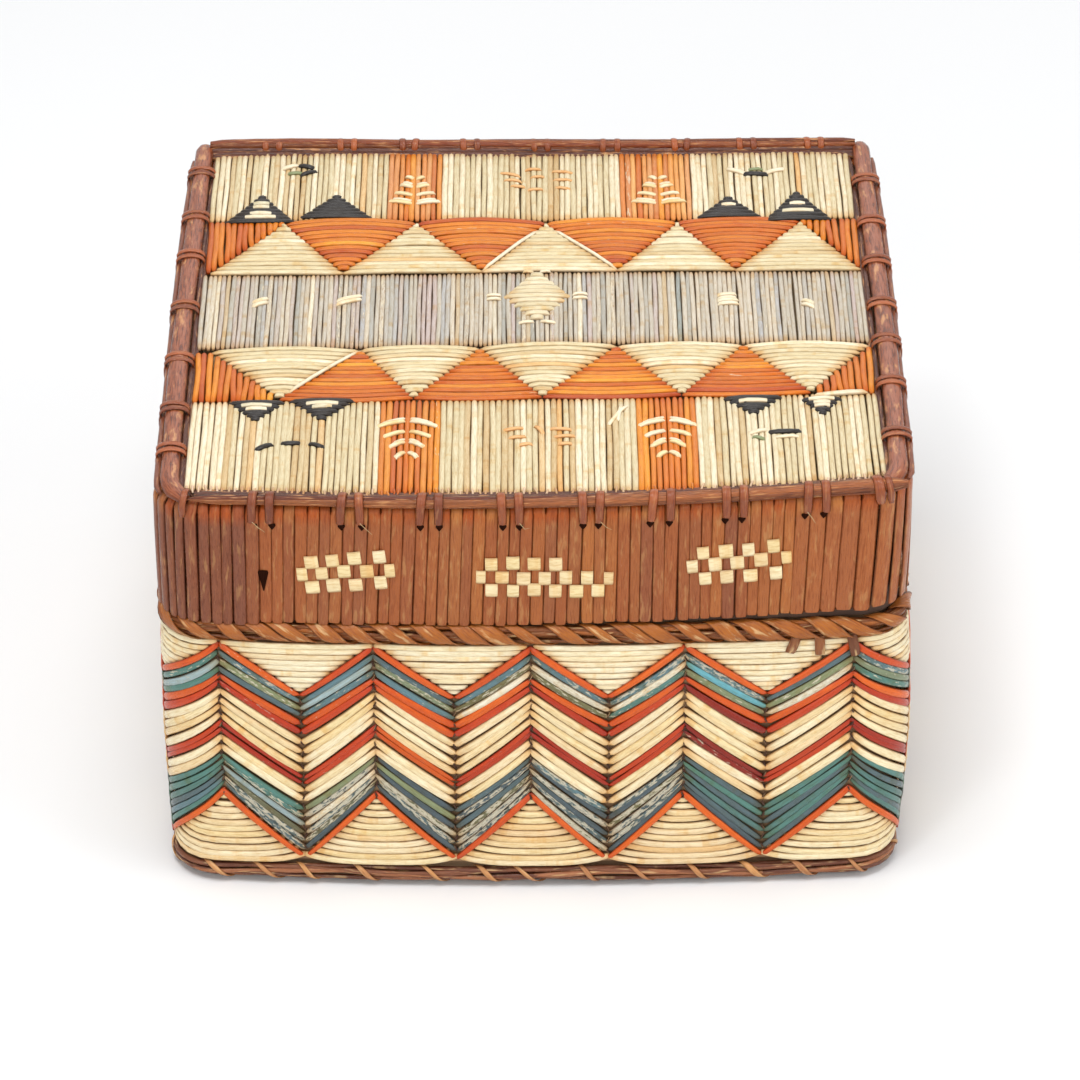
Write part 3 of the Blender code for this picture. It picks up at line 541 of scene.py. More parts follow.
def makeBodyPoints():
    w = bodyWork
    rng.seed(w["seed"] + 1)
    upperPoints, lowerPoints = Strips(bellied), Strips(bellied)
    valleyLow, peakLow = (low for low, high in w["bands"][0][3:])
    valleyTop, peakTop = (high for low, high in w["bands"][-1][3:])
    for column in range(w["halfColumns"]):
        upper = column % 2 == 1
        before = bodyEdges[column - 1] if column else bodyEdges[-2] - edgeLength
        apex, after = bodyEdges[column:column + 2]
        low, high, rows = (valleyTop, w["top"], w["upperRows"]) if upper else (w["bottom"], peakLow, w["lowerRows"])
        tip, wide = (valleyTop, peakTop) if upper else (peakLow, valleyLow)
        tall = (high - low) / rows
        for row in range(rows):
            z = low + (row + 0.5) * tall
            share = min(1, (abs(z - tip) + tall * 0.3) / abs(wide - tip))
            left = apex - (apex - before) * share - rng.uniform(-0.3, 0.6)
            span = apex + (after - apex) * share + rng.uniform(-0.3, 0.6) - left
            if span < w["shortestRow"]:
                continue
            small = min(1, span / 9)
            drift, bow = rng.gauss(0, 0.06), rng.gauss(0, 0.12)
            smile = 0.0 if upper else 1.9 * share  # the lower ones turn up at their ends
            sections = []
            for t in eased(clamp(int(span / 2.6) + 4, 5, 17)):
                lift = hump(t) ** 0.4
                level = z + drift + bow * hump(t) + smile * (abs(2 * t - 1) ** 3 - 0.25)
                half = tall * 0.5 * (0.92 + 0.19 * lift) * (0.6 + 0.4 * small)
                level = max(level, w["bottom"] + tall * 0.4)
                sections.append(onWall(left + span * t, 0.45 + 0.85 * lift * small, level, half))
            tone = mixTone("cream", "amber", amount(0.05 if upper else 0.2, 0.2))
            tone = mixTone(tone, "paleCream", rng.uniform(0.4, 1) if upper else rng.random() * 0.6)
            (upperPoints if upper else lowerPoints).add(sections, tone, taper=(0.6, 0.6))
    for strips, node in ((upperPoints, "upper_cream_points"), (lowerPoints, "lower_cream_points")):
        sweep(strips, node + "_quills", "base", bodyQuill, "cream", node, **w["profile"])


makeBodyQuills()
makeBodyPoints()

# Coils at the body's rim and foot: a bundle of root fibres with strands wound slantwise round it
coils = {
    "rim": {"seed": 21, "rod": "body_rim_rod", "lacing": "body_rim_lacing", "slot": "body_rod", "level": 71.75,
            "across": 1.6, "up": 2.35, "out": 0.35, "fibres": 12, "wraps": 84, "slant": 15.0, "wrapHalf": 1.9, "flat": 0.17,
            "light": srgb(168, 96, 40), "dark": srgb(114, 62, 28), "wrap": srgb(176, 104, 42)},
    "foot": {"seed": 22, "rod": "base_rod", "lacing": "base_lacing", "slot": "base_rod", "level": 3.35,
             "across": 1.35, "up": 2.0, "out": 0.55, "fibres": 9, "wraps": 50, "slant": 8.0, "wrapHalf": 0.75, "flat": 0.30,
             "light": srgb(170, 110, 74), "dark": srgb(108, 62, 44), "wrap": srgb(220, 162, 102)},
}


def makeCoil(name, c):
    rng.seed(c["seed"])
    fibres, wraps = Strips(bellied), Strips(bellied)
    for fibre in range(c["fibres"]):
        phase, wander = rng.uniform(0, 6.28), rng.uniform(0.02, 0.06)
        sections = []
        for t in (k / 260 for k in range(261)):
            angle = 2 * pi * t
            turn = 2 * pi * fibre / c["fibres"] + 0.5 * sin(9 * angle + phase)
            swell = 1 + wander * sin(23 * angle + phase * 2)
            out = c["out"] + (c["across"] - 0.5) * swell * cos(turn)
            z = c["level"] + (c["up"] - 0.55) * swell * sin(turn)
            sections.append(onWall(edgeLength * t, out, z, 0.66 * (1 + 0.2 * sin(31 * angle + phase)), turn))
        fibres.add(sections, mixTone(c["light"], c["dark"], rng.random()))
    for wrap in range(c["wraps"]):
        middle = edgeLength * (wrap + rng.uniform(-0.18, 0.18)) / c["wraps"]
        slant = c["slant"] * rng.uniform(0.75, 1.25)
        tone = mixTone(c["wrap"], c["light"], rng.random() * 0.7)
        wide = c["wrapHalf"] * rng.uniform(0.6, 1.15)
        sections = []
        for t in (k / 14 for k in range(15)):
            turn = radians(125 - 250 * t)
            out, z = c["out"] + (c["across"] + 0.12) * cos(turn), c["level"] + (c["up"] + 0.1) * sin(turn)
            sections.append(onWall(middle + slant * (t - 0.5), out, z, wide * (0.45 + 0.55 * hump(t)), turn))
        wraps.add(sections, tone)
    sweep(fibres, name + "_coil_fibres", "base", coilRoot, c["slot"], c["rod"], 0.75, 6, 0.18, 500)
    sweep(wraps, name + "_coil_wraps", "base", coilRoot, "root", c["lacing"], c["flat"], 8, 0.10, 500)


for name, coil in coils.items():
    makeCoil(name, coil)

# Splints round the lid: round rough reeds at the front's left end, smooth flat ones elsewhere, broad ones at its right
splintWork = {
    "seed": 31, "pitch": 2.62, "foot": 73.9, "bend": 103.4, "top": 105.2, "outer": 1.0, "radius": 1.7,
    "reedsEnd": -63, "broadStart": 56, "elsewhere": 0.35,
    "profile": {"flatness": 0.21, "ripple": 0.12, "rippleScale": 260},
    "dark": srgb(136, 82, 60), "middle": srgb(166, 94, 52), "golden": srgb(190, 118, 60), "right": srgb(174, 101, 55),
    "amber": srgb(178, 84, 30),
}


def makeSplints():
    w, strips = splintWork, Strips(warped)
    rng.seed(w["seed"])
    s = -edgeLength / 2
    while s < edgeLength / 2 - 1.2:
        x, onFront = edgeAt(s).x, edgeAt(s).y < -66
        reedy = clamp((w["reedsEnd"] - x) / 3) if onFront else w["elsewhere"]
        broad = clamp((x - w["broadStart"]) / 6) if onFront else w["elsewhere"] * (rng.random() < 0.3)
        width = w["pitch"] * (1 + rng.gauss(0, 0.08)) * (1 + 0.5 * broad + 0.02 * reedy)
        half = min(width, edgeLength / 2 - s) / 2
        s += half
        tone = mixTone(w["middle"], w["golden"], amount(0.1, 0.25))
        tone = mixTone(tone, w["dark"], amount(0.12, 0.22) + 0.8 * reedy)
        tone = mixTone(tone, w["right"], broad * 0.7)
        # The bend over the rim turns amber: partly the splints' own colour, partly a painted sheen
        bendAmberAndSheen = mixTone(tone, w["amber"] if rng.random() < 0.7 else w["golden"], rng.uniform(0.4, 0.9))
        lean, sway = -0.4 + 0.3 * sin(s * 0.05) + rng.gauss(0, 0.05), rng.gauss(0, 0.06)
        foot = w["foot"] + rng.uniform(-0.1, 0.5)
        outer, out = w["outer"] + 0.25 * reedy + rng.uniform(-0.10, 0.10), edgeOut(s)
        sections = []
        for t in (0, 0.03, 0.25, 0.5, 0.72, 0.9, 0.96, 1.0):
            at, z = s + lean * (1 - t) * 2 + sway * sin(t * 5), foot + (w["bend"] - foot) * t
            sections.append((wallPoint(at, outer + 0.15 * sin(t * 3.1), z), half * (1.08 if t else 1.0), out))
        for turn in map(radians, (25, 50, 75, 95)):  # over the lid's edge
            inset, z = w["radius"] * (cos(turn) - 1), w["top"] + w["radius"] * (sin(turn) - 1)
            sections.append((wallPoint(s + sway, outer + inset, z), half * 1.03, facing(out, turn)))
        end = wallPoint(s, w["outer"] - w["radius"] - 2.2, w["top"] - 0.25)
        sections.append((end, half * 0.9, upward - out * 0.1))
        colours = [tone] * 6 + [mixTone(tone, bendAmberAndSheen, 0.6)] + [bendAmberAndSheen] * 6
        strips.add(sections, colours, 0.8 * reedy, (0.9, 0.8), 1 + 1.4 * reedy)
        s += half
    sweep(strips, "lid_splints_strips", "lid", splintWood, "splint", "lid_splints", **w["profile"])


makeSplints()

# Quills on the lid's top, and the marks worked over them
fieldWork = {
    "seed": 41, "level": 106.95, "halfWidth": 78.9, "rear": 78.9, "front": -78.2, "zigzagRows": 14, "bandQuills": 141,
    "rearPitch": 1.36, "frontPitch": 1.39, "endPitch": 1.45,
    "profile": {"flatness": 0.62, "ripple": 0.08, "rippleScale": 420},
    "rearZigzag": (20.2, 45.0), "blue": (-13.9, 20.2), "frontZigzag": (-37.2, -13.9),
    "rearEdges": (-79.0, -35.6, -22.2, 21.7, 39.2, 78.6), "frontEdges": (-78.6, -35.0, -21.2, 23.6, 37.3, 79.0),
    "rearApexes": (-60.5, -28.2, 3.3, 35.3, 65.3), "rearFeet": (-77.4, -45.6, -12.1, 20.4, 48.7, 78.6),
    "frontApexes": (-58.6, -27.6, 2.1, 34.3, 64.0), "frontFeet": (-75.0, -40.2, -12.4, 19.6, 49.3, 78.4),
    "bandTones": {
        "haze": 0.32, "mist": 0.24, "lilac": 0.14, "blueGrey": 0.12,
        "skyGrey": 0.09, "lidPale": 0.05, "greyBlue": 0.01, "tan": 0.03},
    "bandStitches": (
        (-66.7, 5.5, -62.8, 7.8), (-46.8, 6.3, -40.4, 8.8), (43.8, 4.4, 49.0, 4.8),
        (43.8, 6.8, 48.6, 7.4), (63.7, 4.7, 66.7, 3.0)),
    # the diamond's middle, and the short quills at one side of its ends
    "diamond": (1.0, 7.7),
    "diamondEnds": ((0.6, 11.6, 3.4, 12.0), (0.6, -11.4, 4.6, -12.2), (8.4, -0.8, 12.2, -0.8), (8.4, 0.8, 12.2, 0.8)),
}


# One quill laid on the lid's top between two ends given as x, y, x, y, and tucked down at both
def topQuill(strips, ends, half, tone, raised, wear=0.0, bow=0.1, sink=0.5, steps=9, arch=0.0, taper=(0.7, 0.7)):
    a, b = Vector(ends[:2]), Vector(ends[2:])
    along = b - a
    sway, wobble = rng.gauss(0, bow), rng.uniform(0, 6.28)
    side = Vector((-along.y, along.x)).normalized()
    sections = []
    for t in eased(steps):
        rise = hump(t)
        at = a.lerp(b, t) + side * ((sway + arch) * rise + 0.06 * sin(wobble + 9 * t))
        point = Vector((at.x, at.y, fieldWork["level"] + raised - sink * (1 - rise**0.3)))
        sections.append((point, half * (0.86 + 0.16 * rise**0.4), upward))
    strips.add(sections, tone, wear, taper)


def sweepTop(strips, node, slot):
    sweep(strips, node + "_quills", "lid", lidQuill, slot, node, **fieldWork["profile"])


def lidCreamTone(blend=0.6):
    kind = rng.choices(("lidCream", "lidPale", "tan", "amber"), (0.46, 0.36, 0.14, 0.04))[0]
    return mixTone(kind, "lidCream", rng.random() * blend)


def lidOrangeTone(rust, fade=0.0):
    tone = mixTone("lidOrange", "lidAmber", amount(0.35, 0.4))
    return mixTone(mixTone(tone, "lidRust", amount(rust, 0.3)), "faded", rng.random() * fade)


# A short quill worked over the others
def mark(strips, ends, half, tone, raised=0.55):
    topQuill(strips, ends, half, tone, raised, bow=0.08, sink=0.75, steps=6, taper=(0.6, 0.6))


def lineMark(strips, *values):
    mark(strips, values[:4], *values[4:], 0.6)


# Four pairs of short quills, like a leaf's ribs, from its wide end at yBase to its narrow end at yTip
def leafMark(strips, x, yBase, yTip, wideHalf, narrowHalf, drop):
    for k in range(4):
        y, half = yBase + (yTip - yBase) * k / 3, wideHalf + (narrowHalf - wideHalf) * k / 3
        for side in (-1, 1):
            tone = mixTone("lidPale", "cream", rng.random())
            mark(strips, (x + side * 0.25, y, x + side * half, y + drop), 0.72, tone)
            if k % 2 == 0:
                y1 = y + 1.3
                mark(strips, (x + side * 0.25, y1, x + side * half * 0.85, y1 + drop), 0.55, "lidPale", 0.4)


# A triangle of level quills, each row shorter than the last; pattern gives each row: k black, c cream with black ends
def steppedMark(strips, xLeft, xRight, yBase, yTip, pattern):
    rows = len(pattern)
    middle, row = (xLeft + xRight) / 2, (yTip - yBase) / rows
    for k, kind in enumerate(pattern):
        half, y = (xRight - xLeft) / 2 * (1 - k / rows), yBase + row * (k + 0.5)
        end = y + rng.gauss(0, 0.1)
        mark(strips, (middle - half, y, middle + half, end), abs(row) * 0.56, "black", 0.5)
        if kind == "c":
            half *= rng.uniform(0.45, 0.75)
            tone = mixTone("lidPale", "moss", rng.random() * 0.3)
            mark(strips, (middle - half, y, middle + half, end), abs(row) * 0.52, tone, 0.75)


# Short worn lines, each from its start by its two lengths
def wornLines(half, *places):
    return tuple((x, y, x + dx, y + dy, half, "faded") for x, y, dx, dy in places)


markMakers = {"leaf": leafMark, "steps": steppedMark, "line": lineMark}
# leaf: x, widest row's y, narrowest row's y, widest and narrowest half width, how far the tips rise
# steps: left and right x, base and tip y, rows from the base; line: its two ends, half width and tone
panelMarks = {
    "rear_orange_left": {"leaf": ((-29.0, 52.6, 64.6, 6.6, 2.4, 1.2),)},
    "rear_orange_right": {"leaf": ((31.0, 52.8, 64.8, 6.9, 2.4, 1.2),)},
    "front_orange_left": {"leaf": ((-28.7, -46.8, -60.2, 7.2, 2.6, -2.6),)},
    "front_orange_right": {"leaf": ((30.6, -47.6, -61.0, 6.9, 2.6, -2.6),)},
    "rear_cream_left": {
        "steps": ((-75.2, -57.8, 43.6, 56.0, "kcckcckk"), (-57.2, -39.0, 45.8, 56.0, "kkkkkkk")),
        "line": ((-62.4, 69.4, -58.0, 71.6, 0.8, "lidPale"), (-58.3, 71.2, -54.0, 69.8, 0.8, "black"),
                 (-60.8, 67.2, -56.8, 67.4, 0.7, "moss"), (-57.6, 66.4, -53.2, 68.4, 0.7, "black"))},
    "rear_cream_right": {
        "steps": ((40.2, 56.0, 45.4, 55.0, "kkkckk"), (56.6, 73.2, 43.6, 57.0, "kkckckkk")),
        "line": ((48.0, 69.6, 53.2, 66.4, 0.8, "lidPale"), (51.8, 66.6, 58.6, 66.2, 0.85, "black"),
                 (57.6, 66.8, 62.8, 69.0, 0.8, "lidPale"), (53.4, 68.6, 57.4, 68.7, 0.6, "moss"))},
    "front_cream_left": {
        "steps": ((-70.4, -56.8, -37.8, -46.4, "kcckkk"), (-56.4, -40.6, -37.2, -46.2, "kcckkk")),
        "line": ((-63.2, -59.0, -59.0, -56.4, 0.75, "black"), (-57.6, -56.4, -52.6, -56.2, 0.75, "black"),
                 (-51.2, -56.4, -47.4, -58.2, 0.7, "black"))},
    "front_cream_right": {
        "steps": ((43.4, 57.6, -38.4, -46.0, "kckkk"), (61.4, 71.0, -39.8, -47.0, "ccckk")),
        "line": ((48.8, -54.8, 53.6, -53.0, 0.7, "lidPale"), (53.0, -54.4, 61.2, -54.2, 0.8, "black"),
                 (54.6, -56.6, 60.6, -56.4, 0.6, "lidPale"), (49.6, -56.2, 52.6, -57.4, 0.6, "moss"),
                 (64.2, -38.8, 77.0, -37.2, 0.85, "white"))},
    "rear_cream_middle": {"line": wornLines(
        0.55, (-8.3, 68.0, 5.4, -1.6), (-7.2, 64.4, 4.6, -0.6), (-5.6, 61.4, 4.0, -0.6), (-2.0, 69.4, 4.4, 0.4),
        (-0.6, 65.8, 3.8, 0.2), (-1.4, 59.4, 4.2, 0.6), (4.6, 68.8, 5.8, -1.0), (5.0, 64.6, 5.2, -0.4), (5.4, 60.6, 4.2, -0.8))},
    "front_cream_middle": {"line": (
        (17.1, -49.7, 21.8, -40.9, 0.6, "lidPale"), (19.4, -47.9, 20.4, -40.4, 0.55, "white"), *wornLines(
            0.6, (-7.1, -51.4, 5.2, 1.0), (-5.8, -54.6, 4.4, 0.6), (-3.4, -57.6, 3.4, 0.4), (0.4, -49.4, 2.0, -3.4),
            (3.6, -50.8, 5.4, -0.6), (4.4, -54.4, 5.4, 0.4), (5.4, -57.4, 3.6, 0.2)))},
}


def makePanels(row, low, high, edges):
    front = row == "front"
    names = ("cream_left", "orange_left", "cream_middle", "orange_right", "cream_right")
    for name, left, right in zip(names, edges, edges[1:]):
        strips, node, cream = Strips(warped), row + "_" + name, "cream" in name
        count = round((right - left) / fieldWork[row + "Pitch"])
        pitch = (right - left) / count
        for quill in range(count):
            x = left + (quill + 0.5) * pitch
            half = pitch * 0.54 * rng.uniform(0.88, 1.12)
            tone = lidCreamTone() if cream else lidOrangeTone(0.2, 0.1 if front else 0.7)
            wear = 0.0 if cream else amount(0, 0.15)
            cut = max(0, abs(x) - 72) ** 2 * 0.03  # the lid's corners are rounded
            if front:
                bow = outline["frontBow"] * (x / outline["halfWidth"]) ** 2
                y0, y1, frayed = low + bow + rng.uniform(-0.7, 0.9) + cut, high, 0.22
            else:
                y0, y1, frayed = low, high - rng.uniform(-0.2, 0.4) - cut, 0.7
            ends = x + rng.gauss(0, 0.06), y0, x + rng.gauss(0, 0.06), y1
            topQuill(strips, ends, half, tone, rng.gauss(0, 0.06), wear, bow=0.08, sink=0.35, taper=(frayed, 0.7))
            if front and rng.random() < 0.8:  # a split point beside its end
                ends = x + rng.uniform(-0.6, 0.6), y0 - rng.uniform(0.1, 0.7), x + rng.uniform(-0.3, 0.3), y0 + 2.5
                topQuill(strips, ends, 0.28, mixTone(tone, "lidRust", 0.35), 0.3, sink=0.2, steps=4)
        for kind, places in panelMarks[node].items():
            for values in places:
                markMakers[kind](strips, *values)
        sweepTop(strips, node, "lid_cream" if cream else "lid_orange")


# Height of a zigzag given as (x, y) corners
def zigzagAt(x, corners):
    for (x0, y0), (x1, y1) in zip(corners, corners[1:]):
        if x0 <= x <= x1:
            return y0 + (y1 - y0) * (x - x0) / (x1 - x0)
    return corners[0][1] if x < corners[0][0] else corners[-1][1]


# The x values where a zigzag passes height y
def crossings(y, corners):
    pairs = zip(corners, corners[1:])
    return [x0 + (x1 - x0) * (y - y0) / (y1 - y0) for (x0, y0), (x1, y1) in pairs if (y0 - y) * (y1 - y) < 0]


# Cream points of level quills, orange fans of curved quills between them, and upright orange quills at both ends
def makeZigzag(row, low, high, pointUp):
    w, cream, orange = fieldWork, Strips(warped), Strips(warped)
    apexes, feet = w[row + "Apexes"], w[row + "Feet"]
    tipY, footY, scallop, arching = (high - 2.2, low + 0.6, 1.6, 0.0) if pointUp else (low + 1.4, high - 0.8, -1.2, 1.4)
    corners = [(feet[0], footY)]
    for apex, foot in zip(apexes, feet[1:]):
        corners += [(apex, tipY), (foot, footY)]
    tall = (high - low) / w["zigzagRows"]
    for k in range(w["zigzagRows"]):
        y = low + (k + 0.5) * tall
        xs = crossings(clamp(y, min(tipY, footY) + 0.1, max(tipY, footY) - 0.1), corners)
        beyond = y > tipY if pointUp else y < tipY
        for x0, x1 in () if beyond else zip(xs[::2], xs[1::2]):  # the cream points
            rise = arching * (x1 - x0) / 32  # the front points' wide rows arch to the band
            y0, y1 = (y - rise * 0.4 + rng.gauss(0, 0.1) for end in (0, 1))
            tone = mixTone(lidCreamTone(0.9), "cream", 0.15)
            topQuill(cream, (x0 - 0.2, y0, x1 + 0.2, y1), tall * 0.53, tone, rng.gauss(0, 0.05), bow=0.15, steps=8, arch=rise)
        for x0, x1 in zip(xs[1::2], xs[2::2]):  # the orange fans
            if x1 - x0 >= 1.5:
                arch, wear = scallop * (x1 - x0) / 30, amount(0, 0.18)
                ends = x0 + 0.1, y - arch * 0.35, x1 - 0.1, y - arch * 0.35
                topQuill(orange, ends, tall * 0.52, lidOrangeTone(0.3), rng.gauss(0, 0.04), wear, bow=0.12, arch=arch)
    for i, foot in enumerate(feet[1:-1]):  # pale worn quills along some of the slanting edges
        if rng.random() < 0.55:
            x = apexes[i + (rng.random() < 0.5)]
            tone = mixTone("white", "lidPale", rng.random())
            mark(cream, (foot, footY, foot + (x - foot) * 0.9, footY + (tipY - footY) * 0.9), 0.55, tone, 0.45)
    for limit, apex in ((-w["halfWidth"], apexes[0]), (w["halfWidth"], apexes[-1])):
        count = round(abs(apex - limit) / w["endPitch"])
        for k in range(count):
            x = limit + (apex - limit) * (k + 0.5) / count
            edge = zigzagAt(x, corners)
            y0, y1 = (edge + 0.5, high) if pointUp else (low, edge - 0.5)
            if y1 - y0 >= 2:
                lean = rng.gauss(0, 0.15)
                topQuill(orange, (x + lean, y0, x - lean, y1), 0.76, lidOrangeTone(0.25), 0.05, bow=0.15, steps=8)
    sweepTop(cream, row + "_cream_points", "lid_cream")
    sweepTop(orange, row + "_orange_ground", "lid_orange")


def makeBlueBand(low, high):
    w, strips = fieldWork, Strips(warped)
    pitch, kinds = 2 * w["halfWidth"] / w["bandQuills"], w["bandTones"]
    for quill in range(w["bandQuills"]):
        x = -w["halfWidth"] + (quill + 0.5) * pitch
        tone = mixTone(rng.choices(list(kinds), kinds.values())[0], "mist", rng.uniform(0.2, 0.8))
        ends = x + rng.gauss(0, 0.05), low + rng.uniform(0, 0.5), x + rng.gauss(0, 0.08), high - rng.uniform(0, 0.5)
        half, wear = pitch * 0.54 * rng.uniform(0.86, 1.12), amount(0.2, 0.2)
        topQuill(strips, ends, half, tone, rng.gauss(0, 0.05), wear, sink=0.4)
    x, y = w["diamond"]
    for k in range(-5, 6):
        half, level = 8.1 * (1 - abs(k) / 6) + 0.3, y + k * 1.95
        tone = mixTone("lidCream", "lidPale", rng.random() * 0.7)
        mark(strips, (x - half, level, x + half, level), 1.0, tone)
    for side in (-1, 1):
        for x0, y0, x1, y1 in w["diamondEnds"]:
            mark(strips, (x + side * x0, y + y0, x + side * x1, y + y1), 0.6, "lidPale")
    for x0, y0, x1, y1 in w["bandStitches"]:
        for rise in (-0.8, 0.8):
            mark(strips, (x0, y0 + rise, x1, y1 + rise), 0.75, "lidPale")
    sweepTop(strips, "blue_band", "pale_blue")


rng.seed(fieldWork["seed"])
makePanels("rear", fieldWork["rearZigzag"][1], fieldWork["rear"], fieldWork["rearEdges"])
makePanels("front", fieldWork["front"], fieldWork["frontZigzag"][0], fieldWork["frontEdges"])
makeZigzag("rear", *fieldWork["rearZigzag"], True)
makeZigzag("front", *fieldWork["frontZigzag"], False)
makeBlueBand(*fieldWork["blue"])

# Rim of the lid: bundled rods at front and rear, half-round split strips at the sides, and the lashings over them
rimWork = {
    "seed": 51, "level": 107.2, "rodFibres": 7, "rodTones": (srgb(138, 66, 32), srgb(84, 36, 17), srgb(196, 118, 64)),
    "stripTones": (srgb(160, 90, 58), srgb(128, 68, 44)), "darkTone": srgb(98, 54, 38),
    "lashTones": (srgb(178, 96, 50), srgb(126, 62, 32)),
    # a lashing's loop: how far out and up its middle lies, its two radii, the strands' half width and their gap
    "sideLoop": (-1.9, -0.3, 3.3, 1.7, 0.86, 1.35), "rearLoop": (0.35, 0.75, 1.7, 1.5, 0.85, 1.9),
    "frontLoop": (0.5, -0.15, 1.95, 1.75, 1.05, 2.1),
    # how far out and up its tail lies below the rim
    "sideTail": ((1.2, -5.4), (1.45, -4.6), (1.55, -3.0), (1.5, -1.6)),
    "tail": ((1.15, -6.1), (1.55, -5.5), (1.7, -4.3), (1.8, -2.8), (1.95, -1.4)),
    # the lashings' places along each side
    "front": (-60.9, -40.9, -23.1, -5.2, 12.9, 28.7, 45.0, 63.3),
    "rear": (-64.8, -46.2, -30.7, -15.6, 2.0, 19.5, 37.1, 53.4, 70.2),
    "left": (67.8, 46.1, 27.5, 4.0, -19.4, -40.9, -58.3), "right": (62.7, 42.1, 23.2, 3.2, -14.1, -33.6, -56.9),
    # the corner stitches' places, leans and half widths, and how far along, out and up they go
    "corners": ((77.3, 1, 1.25), (79.6, 1, 0.8), (-78.5, -1, 0.8)),
    "cornerPath": (
        (0.3, 1.3, -4.6), (0.1, 2.2, -2.6), (0.0, 2.6, -0.6), (-0.3, 2.0, 1.0),
        (-0.6, 0.6, 1.75), (-1.0, -1.2, 1.3), (-1.3, -2.2, 0.2)),
}
sideOut = {"front": Vector((0, -1, 0)), "right": Vector((1, 0, 0)), "rear": Vector((0, 1, 0)), "left": Vector((-1, 0, 0))}
slotPlaces = []  # where the front lashings enter the splints


# A point on one straight side of the rim, at a place along it, with the outline's bow
def rimPoint(side, place, out, z):
    o = outline
    if side in ("front", "rear"):
        bow = o["frontBow"] * (place / o["halfWidth"]) ** 2 if side == "front" else 0
        return Vector((place, (o["halfDepth"] + out - bow) * sideOut[side].y, z))
    tuck = 0.055 * max(0, -70 - place) ** 2  # the front corners are rounded
    reach = o["halfWidth"] + out - tuck - o["sideBow"] * (place / o["halfDepth"]) ** 2
    return Vector((reach * sideOut[side].x, place, z))


# A rod made of fibres that lie round a core and turn slowly along it
def addRod(strips, side, start, end, out, level, halves, ends):
    main, deep, light = rimWork["rodTones"]
    sway, phase = rng.uniform(0.08, 0.16), rng.uniform(0, 6)
    for fibre in range(-1, rimWork["rodFibres"]):
        core, twist = fibre < 0, rng.uniform(1.2, 2.2)
        sections = []
        for t in (k / 56 for k in range(57)):
            half = (halves[0] + (halves[1] - halves[0]) * t) * (1 + 0.05 * sin(17 * t + phase))
            half *= min(1, ends[0] + t * 16) * min(1, ends[1] + (1 - t) * 16)
            turn, reach = 2 * pi * fibre / rimWork["rodFibres"] + twist * t, 0 if core else half - 0.38
            outward = out + sway * sin(9 * t + phase) + reach * cos(turn)
            z = level + sway * sin(13 * t) + reach * sin(turn)
            point = rimPoint(side, start + (end - start) * t, outward, z)
            sections.append((point, half * (0.78 if core else 0.50), facing(sideOut[side], turn)))
        tone = mixTone(mixTone(main, deep, rng.random()), light, amount(0.1, 0.3))
        strips.add(sections, tone, 0, (0.6, 0.6), 1.0 if core else 0.8)


# A long split strip laid flat side down
def addSplitStrip(strips, side, start, end, out, level, half, tone, thick, dip=0.0):
    sections = []
    for t in (k / 60 for k in range(61)):
        sink = dip * (max(0, 1 - t * 14) ** 2 + max(0, 1 - (1 - t) * 14) ** 2)
        outward, z = out + 0.12 * sin(9 * t + 2 * half), level - sink + 0.1 * sin(13 * t + half)
        wide = half * (1 + 0.05 * sin(17 * t + half)) * min(1, 0.8 + 16 * min(t, 1 - t))
        sections.append((rimPoint(side, start + (end - start) * t, outward, z), wide, upward))
    strips.add(sections, tone, 0, (0.8, 0.8), thick)


# Two strands over the rim, from low on the splints to beside the quills
def addLashing(strips, side, place):
    w, wide = rimWork, side in ("left", "right")
    middle, height, rx, ry, half, gap = w["sideLoop" if wide else side + "Loop"]
    path = list(w["sideTail" if wide else "tail"])
    for turn in (radians(-15 + 195 * k / 8) for k in range(9)):
        path.append((middle + rx * cos(turn), height + ry * sin(turn)))
    path.append((middle - rx - 0.15, height - 1.5))
    for strand in (-1, 1):
        lean, base = rng.uniform(-0.4, 0.4), place + strand * gap
        if side == "front":
            slotPlaces.append(base - lean)
        sections = []
        for k, (out, up) in enumerate(path):
            t, lower, upper = k / (len(path) - 1), path[max(0, k - 1)], path[min(len(path) - 1, k + 1)]
            face = sideOut[side] * (upper[1] - lower[1]) - upward * (upper[0] - lower[0])
            along = place + strand * gap * (1 - 0.15 * t) + lean * (t - 0.5) * 2
            sections.append((rimPoint(side, along, out, w["level"] + up), half * (0.8 + 0.2 * min(1, t * 4)), face))
        strips.add(sections, mixTone(*w["lashTones"], rng.random()), 0.3, (0.7, 0.7))
        if not wide and rng.random() < 0.4:  # a hair of loose fibre beside the strand
            tip = base + rng.choice((-1, 1)) * rng.uniform(1.2, 3.0)
            hair = ((base, 2.1, 5), ((base + tip) / 2, 2.6, 6.2), (tip, 2.3, rng.uniform(5.5, 8.5)))
            sections = [(rimPoint(side, x, out, w["level"] - up), 0.10, sideOut[side]) for x, out, up in hair]
            strips.add(sections, "tan", 0, (1, 0.4), 1.6)


# The stitches that tie the front rod's ends down at the corners
def addCornerStitches(strips):
    w, ahead = rimWork, sideOut["front"]
    faces = (ahead, ahead, ahead, ahead + upward, upward, upward, upward - ahead)
    for place, lean, half in w["corners"]:
        sections = [(rimPoint("front", place + along * lean, out, w["level"] + up), half, face)
                    for (along, out, up), face in zip(w["cornerPath"], faces)]
        strips.add(sections, mixTone(*w["lashTones"], rng.random()), 0.3, (0.7, 0.7))


